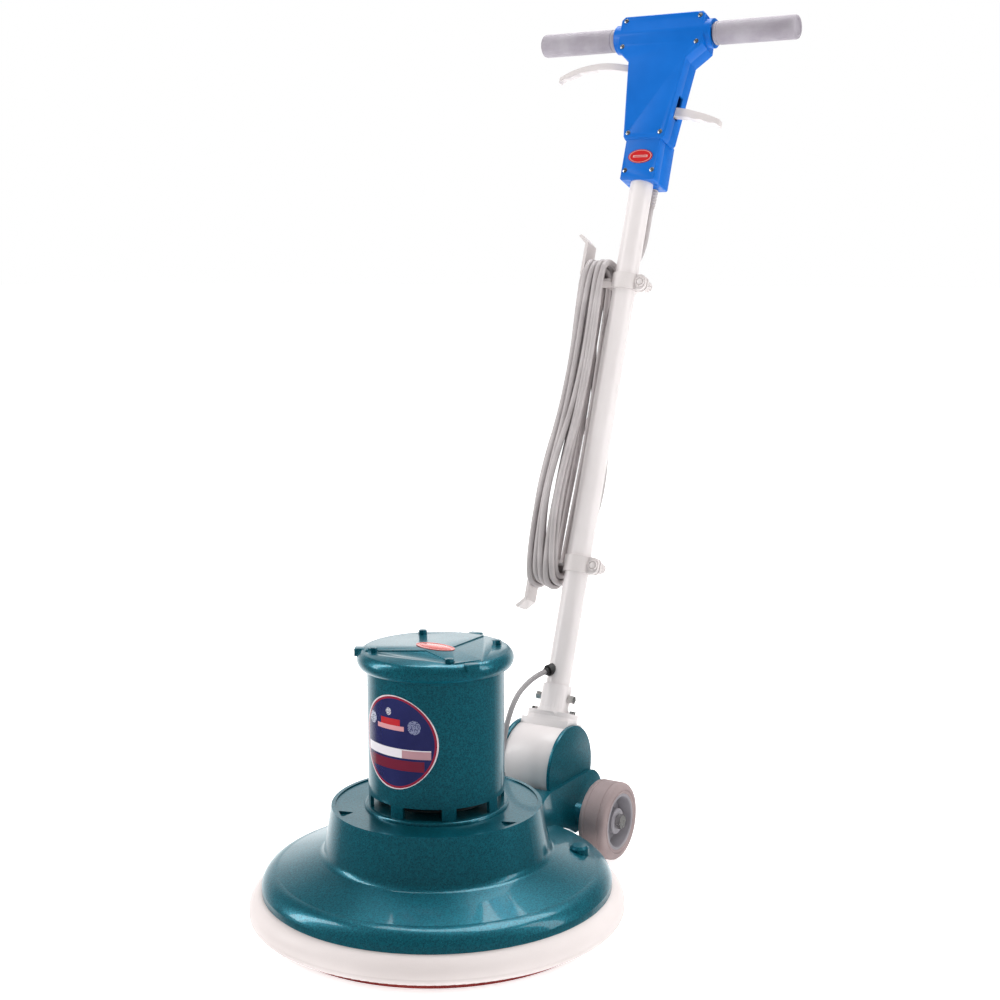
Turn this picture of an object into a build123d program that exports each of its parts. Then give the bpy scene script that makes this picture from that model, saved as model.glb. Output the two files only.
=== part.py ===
"""Single-disc floor burnisher: deck with motor and planetary drive, tilting handle, wheels and stored cord.

Frame: +Z up, the floor at Z = 0 under the disc's axis. The front is -Y and the operator stands at +Y.
All sizes are in millimetres.
"""

import os
from math import asin, atan2, cos, degrees, pi, radians, sin, sqrt, tan

from build123d import *

os.makedirs("parts", exist_ok=True)

# ---------------------------------------------------------------- driving dimensions
# deck casting
skirt_radius = 207.0
skirt_bottom = 42.0
skirt_lip_height = 8.0
skirt_wall = 4.0
shoulder_inset = 19.0
shoulder_height = 66.0
foot_flare = 10.0
foot_height = 84.0
step_margin = 44.0
step_top = 141.0
step_rim_width = 4.5
step_rim_height = 1.6
top_plate = 6.0
gear_hub_bore = 54.0
gear_hub_wall = 5.0
gear_hub_bottom = 96.0
hub_rib_count = 6
# bumper
bumper_overhang = 15.0
bumper_bottom = 12.0
# motor
can_radius = 80.0
can_wall = 4.0
can_top = 308.0
vent_height = 20.0
window_count = 8
window_height = 14.0
window_angle = 33.0
window_phase = -69.3
cover_overhang = 11.5
cover_edge = 6.5
cover_height = 18.0
cover_plate = 4.0
cover_bolt_inset = 6.0
cover_lug_width = 15.0
rotor_radius = 45.5
air_gap = 1.0
stack_height = 62.0
stack_bottom = 194.0
shaft_radius = 8.5
# drive
gear_module = 2.5
sun_teeth = 12
planet_teeth = 12
ring_teeth = 36
planet_count = 3
pressure_angle = 25.0
gear_width = 15.0
gear_bottom = 105.0
backlash = 0.12
output_radius = 15.0
# disc
driver_gap = 7.0
driver_bottom = 20.0
driver_thickness = 10.0
pad_overhang = 3.0
# rear fork and tilt joint
pivot_behind_wheels = 6.0
pivot_z = 113.0
tilt = 20.0
fork_half_width = 45.0
fork_top = 101.0
fork_foot_half_width = 62.0
fork_wall = 8.0
cheek_margin = 3.3
cheek_thickness = 4.5
drum_radius = 54.5
drum_half_length = 34.5
cheek_gap = 0.5
pivot_pin_radius = 8.0
brake_radius = 30.0
# wheels
wheel_behind_skirt = 47.0
wheel_z = 58.0
wheel_radius = 50.0
wheel_width = 38.0
wheel_outer_x = 116.0
wheel_bolt_radius = 6.0
# handle
tube_radius = 16.0
tube_wall = 2.0
socket_wall = 3.5
bar_v = 1033.0
bar_half_span = 190.0
bar_radius = 12.5
grip_radius = 16.4
grip_end = 196.0
grip_start = 76.0
head_front = 20.0
head_back = -22.0
head_wall = 3.0
neck_front = 18.0
neck_back = -30.0
neck_half_width = 26.0
rod_radius = 4.0
upper_hook_v = 667.0
lower_hook_v = 270.0
hook_reach = 66.0
blade_length = 68.0
strip_width = 26.0
strip_thickness = 4.5
cord_radius = 4.0
lead_radius = 3.5
# clearances
running = 0.05
slip = 0.3

# ---------------------------------------------------------------- places worked out from them
shoulder_radius = skirt_radius - shoulder_inset
bumper_radius = skirt_radius + bumper_overhang
driver_radius = skirt_radius - skirt_wall - driver_gap
pad_radius = driver_radius + pad_overhang
step_radius = can_radius + step_margin
foot_radius = step_radius + foot_flare
cover_radius = can_radius + cover_overhang
cover_flat_radius = cover_radius - cover_edge
cover_bolt_circle = can_radius - cover_bolt_inset
wheel_y = skirt_radius + wheel_behind_skirt
pivot_y = wheel_y + pivot_behind_wheels
cheek_radius = drum_radius + cheek_margin
socket_radius = tube_radius + socket_wall
lip_top = skirt_bottom + skirt_lip_height
step_floor = step_top - step_rim_height
plate_under = step_floor - top_plate
vent_bottom = step_floor
vent_top = vent_bottom + vent_height
cover_top = can_top + cover_height
stack_top = stack_bottom + stack_height
sun_pitch = gear_module * sun_teeth / 2
planet_pitch = gear_module * planet_teeth / 2
ring_pitch = gear_module * ring_teeth / 2
planet_orbit = sun_pitch + planet_pitch
gear_top = gear_bottom + gear_width
driver_top = driver_bottom + driver_thickness
cheek_inner = drum_half_length + cheek_gap
cheek_outer = cheek_inner + cheek_thickness
fork_inner = fork_half_width - fork_wall
bolt_seat = fork_inner + 7.0
wheel_inner_x = wheel_outer_x - wheel_width
ledge_bottom = fork_top - 9.0
gland_spot = (-19.0, 181.0)

along = Vector(0, sin(radians(tilt)), cos(radians(tilt)))
frontward = Vector(0, -cos(radians(tilt)), sin(radians(tilt)))
sideways = Vector(1, 0, 0)
pivot = Vector(0, pivot_y, pivot_z)


def on_handle(u, front, v):
    """Point at u across, front before and v up the handle's centre line, from the pivot."""
    return pivot + sideways * u + frontward * front + along * v


def across(v, u=0.0, front=0.0):
    """Plane square to the handle tube; its x is across and its y is backward."""
    return Plane(origin=on_handle(u, front, v), x_dir=sideways, z_dir=along)


def facing(front, u=0.0, v=0.0):
    """Plane facing the handle's front; its x is across and its y is up the tube."""
    return Plane(origin=on_handle(u, front, v), x_dir=sideways, z_dir=frontward)


def beside(u, v=0.0, front=0.0):
    """Plane facing +X on the handle; its x is backward and its y is up the tube."""
    return Plane(origin=on_handle(u, front, v), x_dir=frontward * -1, z_dir=sideways)


def save(builder, name):
    """Labels a finished piece and writes it under its node's name."""
    builder.part.label = name
    export_step(builder.part, f"parts/{name}.step")


def ring(bottom, height, outer, inner=0.0):
    """A plain ring or disc about the machine's axis."""
    with BuildPart() as made:
        with BuildSketch(Plane.XY.offset(bottom)):
            Circle(outer)
            if inner:
                Circle(inner, mode=Mode.SUBTRACT)
        extrude(amount=height)
    return made


def turned(points, plane=Plane.XZ, axis=Axis.Z):
    """A solid turned about an axis from a closed outline of straight edges."""
    with BuildPart() as made:
        with BuildSketch(plane):
            with BuildLine():
                Polyline(*points, close=True)
            make_face()
        revolve(axis=axis)
    return made


# ---------------------------------------------------------------- gear teeth
def flank_angle(radius, pitch_radius, half_thickness_angle):
    """Half the tooth's angle at a radius of an involute gear, in radians."""
    base = pitch_radius * cos(radians(pressure_angle))
    if radius <= base:
        pressure = 0.0
    else:
        pressure = atan2(sqrt(radius**2 - base**2), base)
    at_pitch = radians(pressure_angle)
    return half_thickness_angle + (tan(at_pitch) - at_pitch) - (tan(pressure) - pressure)


def gear_points(teeth, internal=False, phase=0.0):
    """Outline of a gear's teeth, thinned by the backlash, one tooth centred at the phase angle."""
    pitch_radius = gear_module * teeth / 2
    addendum, dedendum = 0.9 * gear_module, 1.15 * gear_module
    thickness = pi * gear_module / 2
    if internal:
        low, high = pitch_radius - addendum, pitch_radius + dedendum
        gap = (thickness + backlash) / (2 * pitch_radius)
    else:
        low, high = pitch_radius - dedendum, pitch_radius + addendum
        gap = (thickness - backlash) / (2 * pitch_radius)
    radii = [low + (high - low) * k / 4 for k in range(5)]
    centre = phase + (180.0 / teeth if internal else 0.0)
    points = []
    for tooth in range(teeth):
        middle = radians(centre + 360.0 * tooth / teeth)
        for side, steps in ((-1, radii), (1, radii[::-1])):
            for radius in steps:
                angle = middle + side * flank_angle(radius, pitch_radius, gap)
                points.append((radius * cos(angle), radius * sin(angle)))
    return points


# ---------------------------------------------------------------- deck casting
with BuildPart() as deck_casting:
    with BuildSketch(Plane.XZ):
        with BuildLine():
            Polyline(
                (gear_hub_bore, step_floor),
                (step_radius - step_rim_width, step_floor),
                (step_radius - step_rim_width, step_top),
                (step_radius, step_top),
                (foot_radius, foot_height),
                (shoulder_radius, shoulder_height),
            )
            ThreePointArc(
                (shoulder_radius, shoulder_height),
                (skirt_radius - 5.5, lip_top + 9.5),
                (skirt_radius, lip_top),
            )
            Polyline(
                (skirt_radius, lip_top),
                (skirt_radius, skirt_bottom),
                (skirt_radius - skirt_wall, skirt_bottom),
                (skirt_radius - skirt_wall, lip_top - 1.0),
            )
            ThreePointArc(
                (skirt_radius - skirt_wall, lip_top - 1.0),
                (skirt_radius - 9.5, lip_top + 6.2),
                (shoulder_radius - 1.5, shoulder_height - skirt_wall),
            )
            Polyline(
                (shoulder_radius - 1.5, shoulder_height - skirt_wall),
                (foot_radius - 3.0, foot_height - skirt_wall - 1.0),
                (step_radius - skirt_wall, plate_under),
                (gear_hub_bore, plate_under),
                (gear_hub_bore, step_floor),
            )
        make_face()
    revolve(axis=Axis.Z)
    foot_edges = (
        deck_casting.edges()
        .filter_by(GeomType.CIRCLE)
        .filter_by(lambda edge: abs(edge.radius - foot_radius) < 0.01)
    )
    fillet(foot_edges, 9.0)
    # hub that carries the ring gear, and its ribs
    with BuildSketch(Plane.XY.offset(gear_hub_bottom)):
        Circle(gear_hub_bore + gear_hub_wall)
        Circle(gear_hub_bore, mode=Mode.SUBTRACT)
    extrude(amount=plate_under + 1.0 - gear_hub_bottom)
    rib_start, rib_end = gear_hub_bore + gear_hub_wall - 1.0, step_radius - skirt_wall - 1.0
    with BuildSketch(Plane.XY.offset(gear_hub_bottom + 12.0)):
        with PolarLocations((rib_start + rib_end) / 2, hub_rib_count, start_angle=30.0):
            Rectangle(rib_end - rib_start, 4.0)
    extrude(amount=plate_under + 1.0 - gear_hub_bottom - 12.0)
    # lifting pockets in the step's top
    for angle in (-128.5, -9.5, 110.5):
        with BuildSketch(Plane.XY.offset(step_floor - 3.0)):
            with Locations(Location((0, 0, 0), (0, 0, 1), angle)):
                Polygon((101.0, -2.0), (116.0, -13.0), (118.5, 9.0), align=None)
        extrude(amount=3.0, mode=Mode.SUBTRACT)
    # domed bosses on the skirt beside the wheels
    for side in (-1, 1):
        boss_x, boss_y = side * 137.0, 101.0
        with BuildSketch(Plane(origin=(boss_x, boss_y, 0), x_dir=(1, 0, 0), z_dir=(0, -1, 0))):
            with BuildLine():
                Polyline((0, 80.0), (0, 66.0), (11.5, 66.0), (11.5, 77.0), (8.5, 80.0), (0, 80.0))
            make_face()
        revolve(axis=Axis((boss_x, boss_y, 0), (0, 0, 1)))
save(deck_casting, "deck_casting")

# ---------------------------------------------------------------- rear fork, fixed to the deck's back
fork_foot = wheel_z - 18.0


def fork_outline(level, half_width, spread):
    """Plan of the fork at a level: wide where it meets the deck, drawn in to its two walls behind."""
    with BuildSketch(Plane.XY.offset(level)) as made:
        with BuildLine():
            Line((spread, 60.0), (spread, 82.0))
            ThreePointArc((spread, 82.0), (0.42 * spread + 0.5 * half_width, 136.0), (half_width, 196.0))
            Polyline((half_width, 196.0), (half_width, 330.0), (-half_width, 330.0), (-half_width, 196.0))
            ThreePointArc((-half_width, 196.0), (-0.42 * spread - 0.5 * half_width, 136.0), (-spread, 82.0))
            Polyline((-spread, 82.0), (-spread, 60.0), (spread, 60.0))
        make_face()
    return made.sketch.face()


with BuildPart() as rear_fork:
    loft(
        [
            fork_outline(fork_foot, fork_foot_half_width, 116.0),
            fork_outline(fork_top, fork_half_width, 104.0),
        ]
    )
    with BuildSketch(Plane.YZ.offset(-130.0)):
        with BuildLine():
            Polyline((50.0, fork_top), (pivot_y + 47.0, fork_top))
            ThreePointArc(
                (pivot_y + 47.0, fork_top),
                (pivot_y + 62.0, 93.0),
                (pivot_y + 66.0, 78.0),
            )
            Line((pivot_y + 66.0, 78.0), (wheel_y + 22.0, fork_foot))
            Line((wheel_y + 22.0, fork_foot), (wheel_y - 22.0, fork_foot))
            ThreePointArc((wheel_y - 22.0, fork_foot), (212.0, 52.0), (190.0, 58.0))
            Polyline((190.0, 58.0), (50.0, 58.0), (50.0, fork_top))
        make_face()
    extrude(amount=260.0, mode=Mode.INTERSECT)
    # room inside the fork, open below and behind
    loft(
        [
            fork_outline(fork_foot - 1.0, fork_foot_half_width - fork_wall, 108.0),
            fork_outline(ledge_bottom, fork_inner, 96.0),
        ],
        mode=Mode.SUBTRACT,
    )
    with BuildSketch(Plane.XY.offset(ledge_bottom - 1.0)):
        with Locations((0, 320.0)):
            Rectangle(2 * fork_inner, 40.0)
    extrude(amount=-30.0, mode=Mode.SUBTRACT)
    with BuildSketch(Plane.XY.offset(fork_foot - 1.0)):
        with Locations((0, pivot_y + 23.0)):
            Rectangle(2 * cheek_inner, 2 * (drum_radius + 3.0) + 46.0)
    extrude(amount=120.0, mode=Mode.SUBTRACT)
    # cheeks that hold the drum
    for side in (-1, 1):
        inner = cheek_inner if side > 0 else -cheek_outer
        with BuildSketch(Plane.YZ.offset(inner)):
            with Locations((pivot_y, pivot_z)):
                Circle(cheek_radius)
            with Locations((pivot_y, ledge_bottom - 50.0)):
                Rectangle(200.0, 100.0, mode=Mode.SUBTRACT)
        extrude(amount=cheek_thickness)
    # cross plate low between the side walls, and the wheel bosses
    with BuildSketch(Plane.XY.offset(fork_foot)):
        with Locations((0, wheel_y)):
            Rectangle(2 * (fork_foot_half_width - fork_wall + 1.0), 34.0)
    extrude(amount=5.0)
    for side in (-1, 1):
        start = bolt_seat if side > 0 else -(wheel_inner_x - 2.0)
        with BuildSketch(Plane.YZ.offset(start)):
            with Locations((wheel_y, wheel_z)):
                Circle(15.0)
        extrude(amount=wheel_inner_x - 2.0 - bolt_seat)
    # the pin goes in from the left and stops inside the right cheek
    with BuildSketch(Plane.YZ.offset(-130.0)):
        with Locations((pivot_y, pivot_z)):
            Circle(pivot_pin_radius)
    extrude(amount=130.0 + cheek_outer - 1.5, mode=Mode.SUBTRACT)
    with BuildSketch(Plane.YZ.offset(-130.0)):
        with Locations((wheel_y, wheel_z)):
            Circle(wheel_bolt_radius)
    extrude(amount=260.0, mode=Mode.SUBTRACT)
    # hole for the lead's gland
    with BuildSketch(Plane.XY.offset(ledge_bottom - 5.0)):
        with Locations(gland_spot):
            Circle(5.0)
    extrude(amount=20.0, mode=Mode.SUBTRACT)
    # it is fitted round the outside of the deck casting
    with BuildSketch(Plane.XZ):
        with BuildLine():
            Polyline(
                (0, 30.0),
                (0, plate_under + 1.0),
                (step_radius - skirt_wall + 1.0, plate_under + 1.0),
                (foot_radius - 2.0, foot_height - skirt_wall),
                (shoulder_radius, shoulder_height - skirt_wall + 1.5),
                (skirt_radius - 8.0, lip_top + 7.0),
                (skirt_radius - 2.0, lip_top),
                (skirt_radius - 2.0, 30.0),
                close=True,
            )
        make_face()
    revolve(axis=Axis.Z, mode=Mode.SUBTRACT)
    add(deck_casting.part, mode=Mode.SUBTRACT)
save(rear_fork, "rear_fork")

# ---------------------------------------------------------------- bumper
with BuildPart() as bumper_ring:
    with BuildSketch(Plane.XZ):
        with BuildLine():
            Polyline(
                (skirt_radius - skirt_wall, bumper_bottom),
                (skirt_radius - skirt_wall, skirt_bottom),
                (skirt_radius, skirt_bottom),
            )
            ThreePointArc(
                (skirt_radius, skirt_bottom),
                (bumper_radius - 3.2, skirt_bottom - 9.0),
                (bumper_radius, bumper_bottom + 8.0),
            )
            ThreePointArc(
                (bumper_radius, bumper_bottom + 8.0),
                (bumper_radius - 1.2, bumper_bottom + 2.0),
                (bumper_radius - 5.0, bumper_bottom),
            )
            Line((bumper_radius - 5.0, bumper_bottom), (skirt_radius - skirt_wall, bumper_bottom))
        make_face()
    revolve(axis=Axis.Z)
save(bumper_ring, "bumper_ring")

# ---------------------------------------------------------------- motor housing
bearing_outer, bearing_width = 23.5, 14.0
lower_bearing_bottom = plate_under - 3.0
with BuildPart() as vent_ring:
    # plate with a rounded foot, a spigot into the deck and a seat for the lower bearing
    with BuildSketch(Plane.XY.offset(vent_bottom)):
        Circle(can_radius + 5.0)
    extrude(amount=4.0)
    foot_rim = vent_ring.edges().filter_by(lambda edge: edge.center().Z > vent_bottom + 3.0)
    fillet(foot_rim, 3.4)
    with BuildSketch(Plane.XY.offset(lower_bearing_bottom - 2.0)):
        Circle(gear_hub_bore - 0.2)
    extrude(amount=vent_bottom - lower_bearing_bottom + 2.0)
    with BuildSketch(Plane.XY.offset(vent_bottom + 4.0)):
        Circle(bearing_outer + 5.0)
    extrude(amount=5.0)
    with BuildSketch(Plane.XY.offset(vent_bottom)):
        Circle(can_radius)
        Circle(can_radius - can_wall, mode=Mode.SUBTRACT)
    extrude(amount=vent_height)
    with BuildSketch(Plane.XY.offset(lower_bearing_bottom - 2.0)):
        Circle(bearing_outer - 3.0)
    extrude(amount=60.0, mode=Mode.SUBTRACT)
    with BuildSketch(Plane.XY.offset(lower_bearing_bottom)):
        Circle(bearing_outer)
    extrude(amount=60.0, mode=Mode.SUBTRACT)
    # cooling windows
    with BuildSketch(Plane.XY.offset(vent_bottom + 4.2)):
        for window in range(window_count):
            middle = window_phase + 360.0 * window / window_count
            with BuildLine():
                for half in (-1, 1):
                    turn = radians(middle + half * window_angle / 2)
                    Line(
                        ((can_radius - 8.0) * cos(turn), (can_radius - 8.0) * sin(turn)),
                        ((can_radius + 4.0) * cos(turn), (can_radius + 4.0) * sin(turn)),
                    )
                for reach in (can_radius - 8.0, can_radius + 4.0):
                    ThreePointArc(
                        *[
                            (reach * cos(radians(middle + part)), reach * sin(radians(middle + part)))
                            for part in (-window_angle / 2, 0.0, window_angle / 2)
                        ]
                    )
            make_face()
    extrude(amount=window_height, mode=Mode.SUBTRACT)
save(vent_ring, "vent_ring")

motor_can = ring(vent_top, can_top - vent_top, can_radius, can_radius - can_wall)
save(motor_can, "motor_can")

upper_bearing_bottom = can_top - 22.0
with BuildPart() as motor_cover:
    with BuildSketch(Plane.XZ):
        with BuildLine():
            Polyline((0, cover_top - cover_plate), (0, cover_top), (cover_flat_radius, cover_top))
            ThreePointArc(
                (cover_flat_radius, cover_top),
                (cover_radius, cover_top - 10.5),
                (cover_flat_radius, cover_top - 21.0),
            )
            Polyline(
                (cover_flat_radius, cover_top - 21.0),
                (can_radius + slip, cover_top - 21.0),
                (can_radius + slip, can_top),
                (can_radius - can_wall - 6.0, can_top),
                (can_radius - can_wall - 6.0, cover_top - cover_plate),
                (0, cover_top - cover_plate),
            )
        make_face()
    revolve(axis=Axis.Z)
    # seat for the upper bearing, hung from the plate
    with BuildSketch(Plane.XY.offset(upper_bearing_bottom)):
        Circle(20.0 + 4.0)
    extrude(amount=cover_top - cover_plate - upper_bearing_bottom + 1.0)
    with BuildSketch(Plane.XY.offset(upper_bearing_bottom)):
        Circle(20.0)
    extrude(amount=14.0, mode=Mode.SUBTRACT)
    # three raised arms on the top, each ending in a square lug on the rim
    with BuildSketch(Plane.XY.offset(cover_top - 1.0)):
        with PolarLocations(40.0, 3, start_angle=90.0):
            Rectangle(80.0, 34.0)
    extrude(amount=2.2)
    with BuildSketch(Plane.XY.offset(cover_top - 8.0)):
        with PolarLocations(88.5, 3, start_angle=90.0):
            Rectangle(11.0, cover_lug_width)
    extrude(amount=8.6)
    # flat seats for the four nuts
    with BuildSketch(Plane.XY.offset(cover_top)):
        with PolarLocations(cover_bolt_circle, 4, start_angle=45.0):
            Circle(6.6)
    extrude(amount=3.0, mode=Mode.SUBTRACT)
    # holes for the four bolts
    with BuildSketch(Plane.XY.offset(cover_top - 8.0)):
        with PolarLocations(cover_bolt_circle, 4, start_angle=45.0):
            Circle(3.0)
    extrude(amount=20.0, mode=Mode.SUBTRACT)
save(motor_cover, "motor_cover")

with BuildPart() as cover_fasteners:
    with BuildSketch(Plane.XY.offset(cover_top)):
        with PolarLocations(cover_bolt_circle, 4, start_angle=45.0):
            RegularPolygon(5.4, 6)
    extrude(amount=5.0)
    with BuildSketch(Plane.XY.offset(cover_top - 8.0)):
        with PolarLocations(cover_bolt_circle, 4, start_angle=45.0):
            Circle(3.0)
    extrude(amount=13.5)
save(cover_fasteners, "cover_fasteners")

badge_half_width, badge_half_height, badge_z, badge_turn = 50.5, 54.6, 233.0, -3.9
with BuildPart() as front_badge:
    with BuildSketch(Plane.XY.offset(badge_z - badge_half_height)):
        Circle(can_radius + 0.6)
        Circle(can_radius, mode=Mode.SUBTRACT)
    extrude(amount=2 * badge_half_height)
    with BuildSketch(Plane.XZ.rotated((0, 0, badge_turn))):
        with Locations((0, badge_z)):
            Ellipse(badge_half_width, badge_half_height)
    extrude(amount=can_radius + 5.0, mode=Mode.INTERSECT)
save(front_badge, "front_badge")

# ---------------------------------------------------------------- electric motor
with BuildPart() as stator_core:
    add(ring(stack_bottom, stack_height, can_radius - can_wall, rotor_radius + air_gap).part)
    with BuildSketch(Plane.XY.offset(stack_bottom)):
        with PolarLocations(rotor_radius + air_gap + 8.0, 24):
            Rectangle(14.0, 5.0)
    extrude(amount=stack_height, mode=Mode.SUBTRACT)
save(stator_core, "stator_core")

with BuildPart() as stator_windings:
    for bottom in (stack_bottom - 20.0, stack_top):
        with BuildSketch(Plane.XY.offset(bottom)):
            Circle(72.0)
            Circle(51.0, mode=Mode.SUBTRACT)
        extrude(amount=20.0)
    with BuildSketch(Plane.XY.offset(stack_bottom)):
        with PolarLocations(rotor_radius + air_gap + 9.0, 24):
            Rectangle(8.0, 4.0)
    extrude(amount=stack_height)
save(stator_windings, "stator_windings")


def ball_bearing(bottom, height, outer, bore):
    """Outer and inner rings of a bearing with its shields, as one sealed unit."""
    middle = (outer + bore) / 2
    with BuildPart() as made:
        with BuildSketch(Plane.XY.offset(bottom)):
            Circle(outer)
            Circle(bore + running, mode=Mode.SUBTRACT)
        extrude(amount=height)
        with BuildSketch(Plane.XY.offset(bottom + height - 0.8)):
            Circle(middle + 3.0)
            Circle(middle - 3.0, mode=Mode.SUBTRACT)
        extrude(amount=0.8, mode=Mode.SUBTRACT)
    return made


with BuildPart() as motor_bearings:
    add(ball_bearing(upper_bearing_bottom, 12.0, 20.0, shaft_radius).part)
    add(ball_bearing(lower_bearing_bottom, bearing_width, bearing_outer, 10.0).part)
save(motor_bearings, "motor_bearings")

with BuildPart() as rotor_shaft:
    with BuildSketch(Plane.XY.offset(gear_bottom)):
        with BuildLine():
            Polyline(*gear_points(sun_teeth), close=True)
        make_face()
    extrude(amount=gear_width + 4.0)
    with BuildSketch(Plane.XY.offset(gear_top + 4.0)):
        Circle(10.0)
    extrude(amount=stack_bottom - 8.0 - gear_top - 4.0)
    with BuildSketch(Plane.XY.offset(stack_bottom - 8.0)):
        Circle(14.0)
    extrude(amount=8.0)
    with BuildSketch(Plane.XY.offset(stack_bottom)):
        Circle(12.0)
    extrude(amount=stack_height)
    with BuildSketch(Plane.XY.offset(stack_top)):
        Circle(shaft_radius)
    extrude(amount=upper_bearing_bottom + 12.0 - stack_top)
save(rotor_shaft, "rotor_shaft")

with BuildPart() as rotor_core:
    add(ring(stack_bottom, stack_height, rotor_radius, 12.0).part)
    with BuildSketch(Plane.XY.offset(stack_bottom - 5.0)):
        Circle(rotor_radius - 2.0)
        Circle(rotor_radius - 12.0, mode=Mode.SUBTRACT)
    extrude(amount=stack_height + 10.0)
save(rotor_core, "rotor_core")

fan_bottom = vent_bottom + 10.0
with BuildPart() as cooling_fan:
    with BuildSketch(Plane.XY.offset(fan_bottom)):
        Circle(66.0)
        Circle(10.0, mode=Mode.SUBTRACT)
    extrude(amount=2.0)
    with BuildSketch(Plane.XY.offset(fan_bottom)):
        Circle(16.0)
        Circle(10.0, mode=Mode.SUBTRACT)
    extrude(amount=16.0)
    with BuildSketch(Plane.XY.offset(fan_bottom)):
        with PolarLocations(43.0, 10):
            Rectangle(42.0, 2.2)
    extrude(amount=13.0)
save(cooling_fan, "cooling_fan")

# ---------------------------------------------------------------- planetary drive
with BuildPart() as ring_gear:
    with BuildSketch(Plane.XY.offset(gear_bottom - 2.0)):
        Circle(gear_hub_bore)
        with BuildLine():
            Polyline(*gear_points(ring_teeth, internal=True), close=True)
        make_face(mode=Mode.SUBTRACT)
    extrude(amount=gear_width + 4.0)
save(ring_gear, "ring_gear")

planet_pin_radius = 6.0
for number in range(planet_count):
    direction = 90.0 + 360.0 * number / planet_count
    spot = (planet_orbit * cos(radians(direction)), planet_orbit * sin(radians(direction)))
    with BuildPart() as planet_gear:
        with BuildSketch(Plane.XY.offset(gear_bottom)):
            with BuildLine():
                Polyline(
                    *[
                        (x + spot[0], y + spot[1])
                        for x, y in gear_points(planet_teeth, phase=direction + 180.0 / planet_teeth)
                    ],
                    close=True,
                )
            make_face()
            with Locations(spot):
                Circle(planet_pin_radius + running, mode=Mode.SUBTRACT)
        extrude(amount=gear_width)
    save(planet_gear, f"planet_gear_{number + 1}")

carrier_top = gear_bottom - 0.5
gearbox_plate_bottom = gear_hub_bottom - 6.0
output_bearing_bottom = gearbox_plate_bottom - 14.0
drive_plate_top = 52.0
with BuildPart() as planet_carrier:
    with BuildSketch(Plane.XY.offset(carrier_top - 6.5)):
        Circle(42.0)
    extrude(amount=6.5)
    with BuildSketch(Plane.XY.offset(carrier_top - 0.5)):
        with PolarLocations(planet_orbit, planet_count, start_angle=90.0):
            Circle(planet_pin_radius)
    extrude(amount=gear_width + 2.0)
    with BuildSketch(Plane.XY.offset(drive_plate_top)):
        Circle(output_radius)
    extrude(amount=carrier_top - 6.0 - drive_plate_top)
save(planet_carrier, "planet_carrier")

with BuildPart() as gearbox_plate:
    with BuildSketch(Plane.XY.offset(gearbox_plate_bottom)):
        Circle(gear_hub_bore + gear_hub_wall)
    extrude(amount=6.0)
    with BuildSketch(Plane.XY.offset(output_bearing_bottom - 3.0)):
        Circle(36.0)
    extrude(amount=gearbox_plate_bottom - output_bearing_bottom + 3.0)
    with BuildSketch(Plane.XY.offset(output_bearing_bottom)):
        Circle(31.0)
    extrude(amount=40.0, mode=Mode.SUBTRACT)
    with BuildSketch(Plane.XY.offset(output_bearing_bottom - 10.0)):
        Circle(output_radius + 1.5)
    extrude(amount=40.0, mode=Mode.SUBTRACT)
    with BuildSketch(Plane.XY.offset(gearbox_plate_bottom)):
        with PolarLocations(gear_hub_bore + 1.0, 6):
            Circle(2.0)
    extrude(amount=6.0, mode=Mode.SUBTRACT)
save(gearbox_plate, "gearbox_plate")

output_bearing = ball_bearing(output_bearing_bottom, 16.0, 31.0, output_radius)
save(output_bearing, "output_bearing")

with BuildPart() as gearbox_screws:
    with BuildSketch(Plane.XY.offset(gearbox_plate_bottom)):
        with PolarLocations(gear_hub_bore + 1.0, 6):
            Circle(2.0)
    extrude(amount=6.0)
    with BuildSketch(Plane.XY.offset(gearbox_plate_bottom - 3.0)):
        with PolarLocations(gear_hub_bore + 1.0, 6):
            RegularPolygon(4.0, 6)
    extrude(amount=3.0)
save(gearbox_screws, "gearbox_screws")

with BuildPart() as drive_plate:
    with BuildSketch(Plane.XY.offset(drive_plate_top - 8.0)):
        Circle(46.0)
    extrude(amount=8.0)
    with BuildSketch(Plane.XY.offset(drive_plate_top - 14.0)):
        with PolarLocations(48.0, 3):
            Rectangle(16.0, 18.0)
    extrude(amount=14.0)
save(drive_plate, "drive_plate")

with BuildPart() as pad_driver:
    with BuildSketch(Plane.XY.offset(driver_bottom)):
        Circle(driver_radius)
        Circle(30.0, mode=Mode.SUBTRACT)
    extrude(amount=driver_thickness)
    with BuildSketch(Plane.XY.offset(driver_top)):
        Circle(74.0)
        Circle(30.0, mode=Mode.SUBTRACT)
    extrude(amount=drive_plate_top - 14.0 - driver_top)
    with BuildSketch(Plane.XY.offset(drive_plate_top - 14.0)):
        Circle(74.0)
        Circle(58.0, mode=Mode.SUBTRACT)
    extrude(amount=10.0)
    with BuildSketch(Plane.XY.offset(driver_top)):
        with PolarLocations(130.0, 12):
            Rectangle(120.0, 5.0)
    extrude(amount=6.0)
save(pad_driver, "pad_driver")

floor_pad = ring(0.0, driver_bottom, pad_radius)
save(floor_pad, "floor_pad")

# ---------------------------------------------------------------- tilt joint
with BuildPart() as pivot_pin:
    with BuildSketch(Plane.YZ.offset(-cheek_outer)):
        with Locations((pivot_y, pivot_z)):
            Circle(pivot_pin_radius)
    extrude(amount=2 * cheek_outer - 1.5)
save(pivot_pin, "pivot_pin")

with BuildPart() as brake_disc:
    with BuildSketch(Plane.YZ.offset(-9.0)):
        with Locations((pivot_y, pivot_z)):
            Circle(brake_radius)
            Circle(pivot_pin_radius, mode=Mode.SUBTRACT)
    extrude(amount=18.0)
save(brake_disc, "brake_disc")

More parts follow.
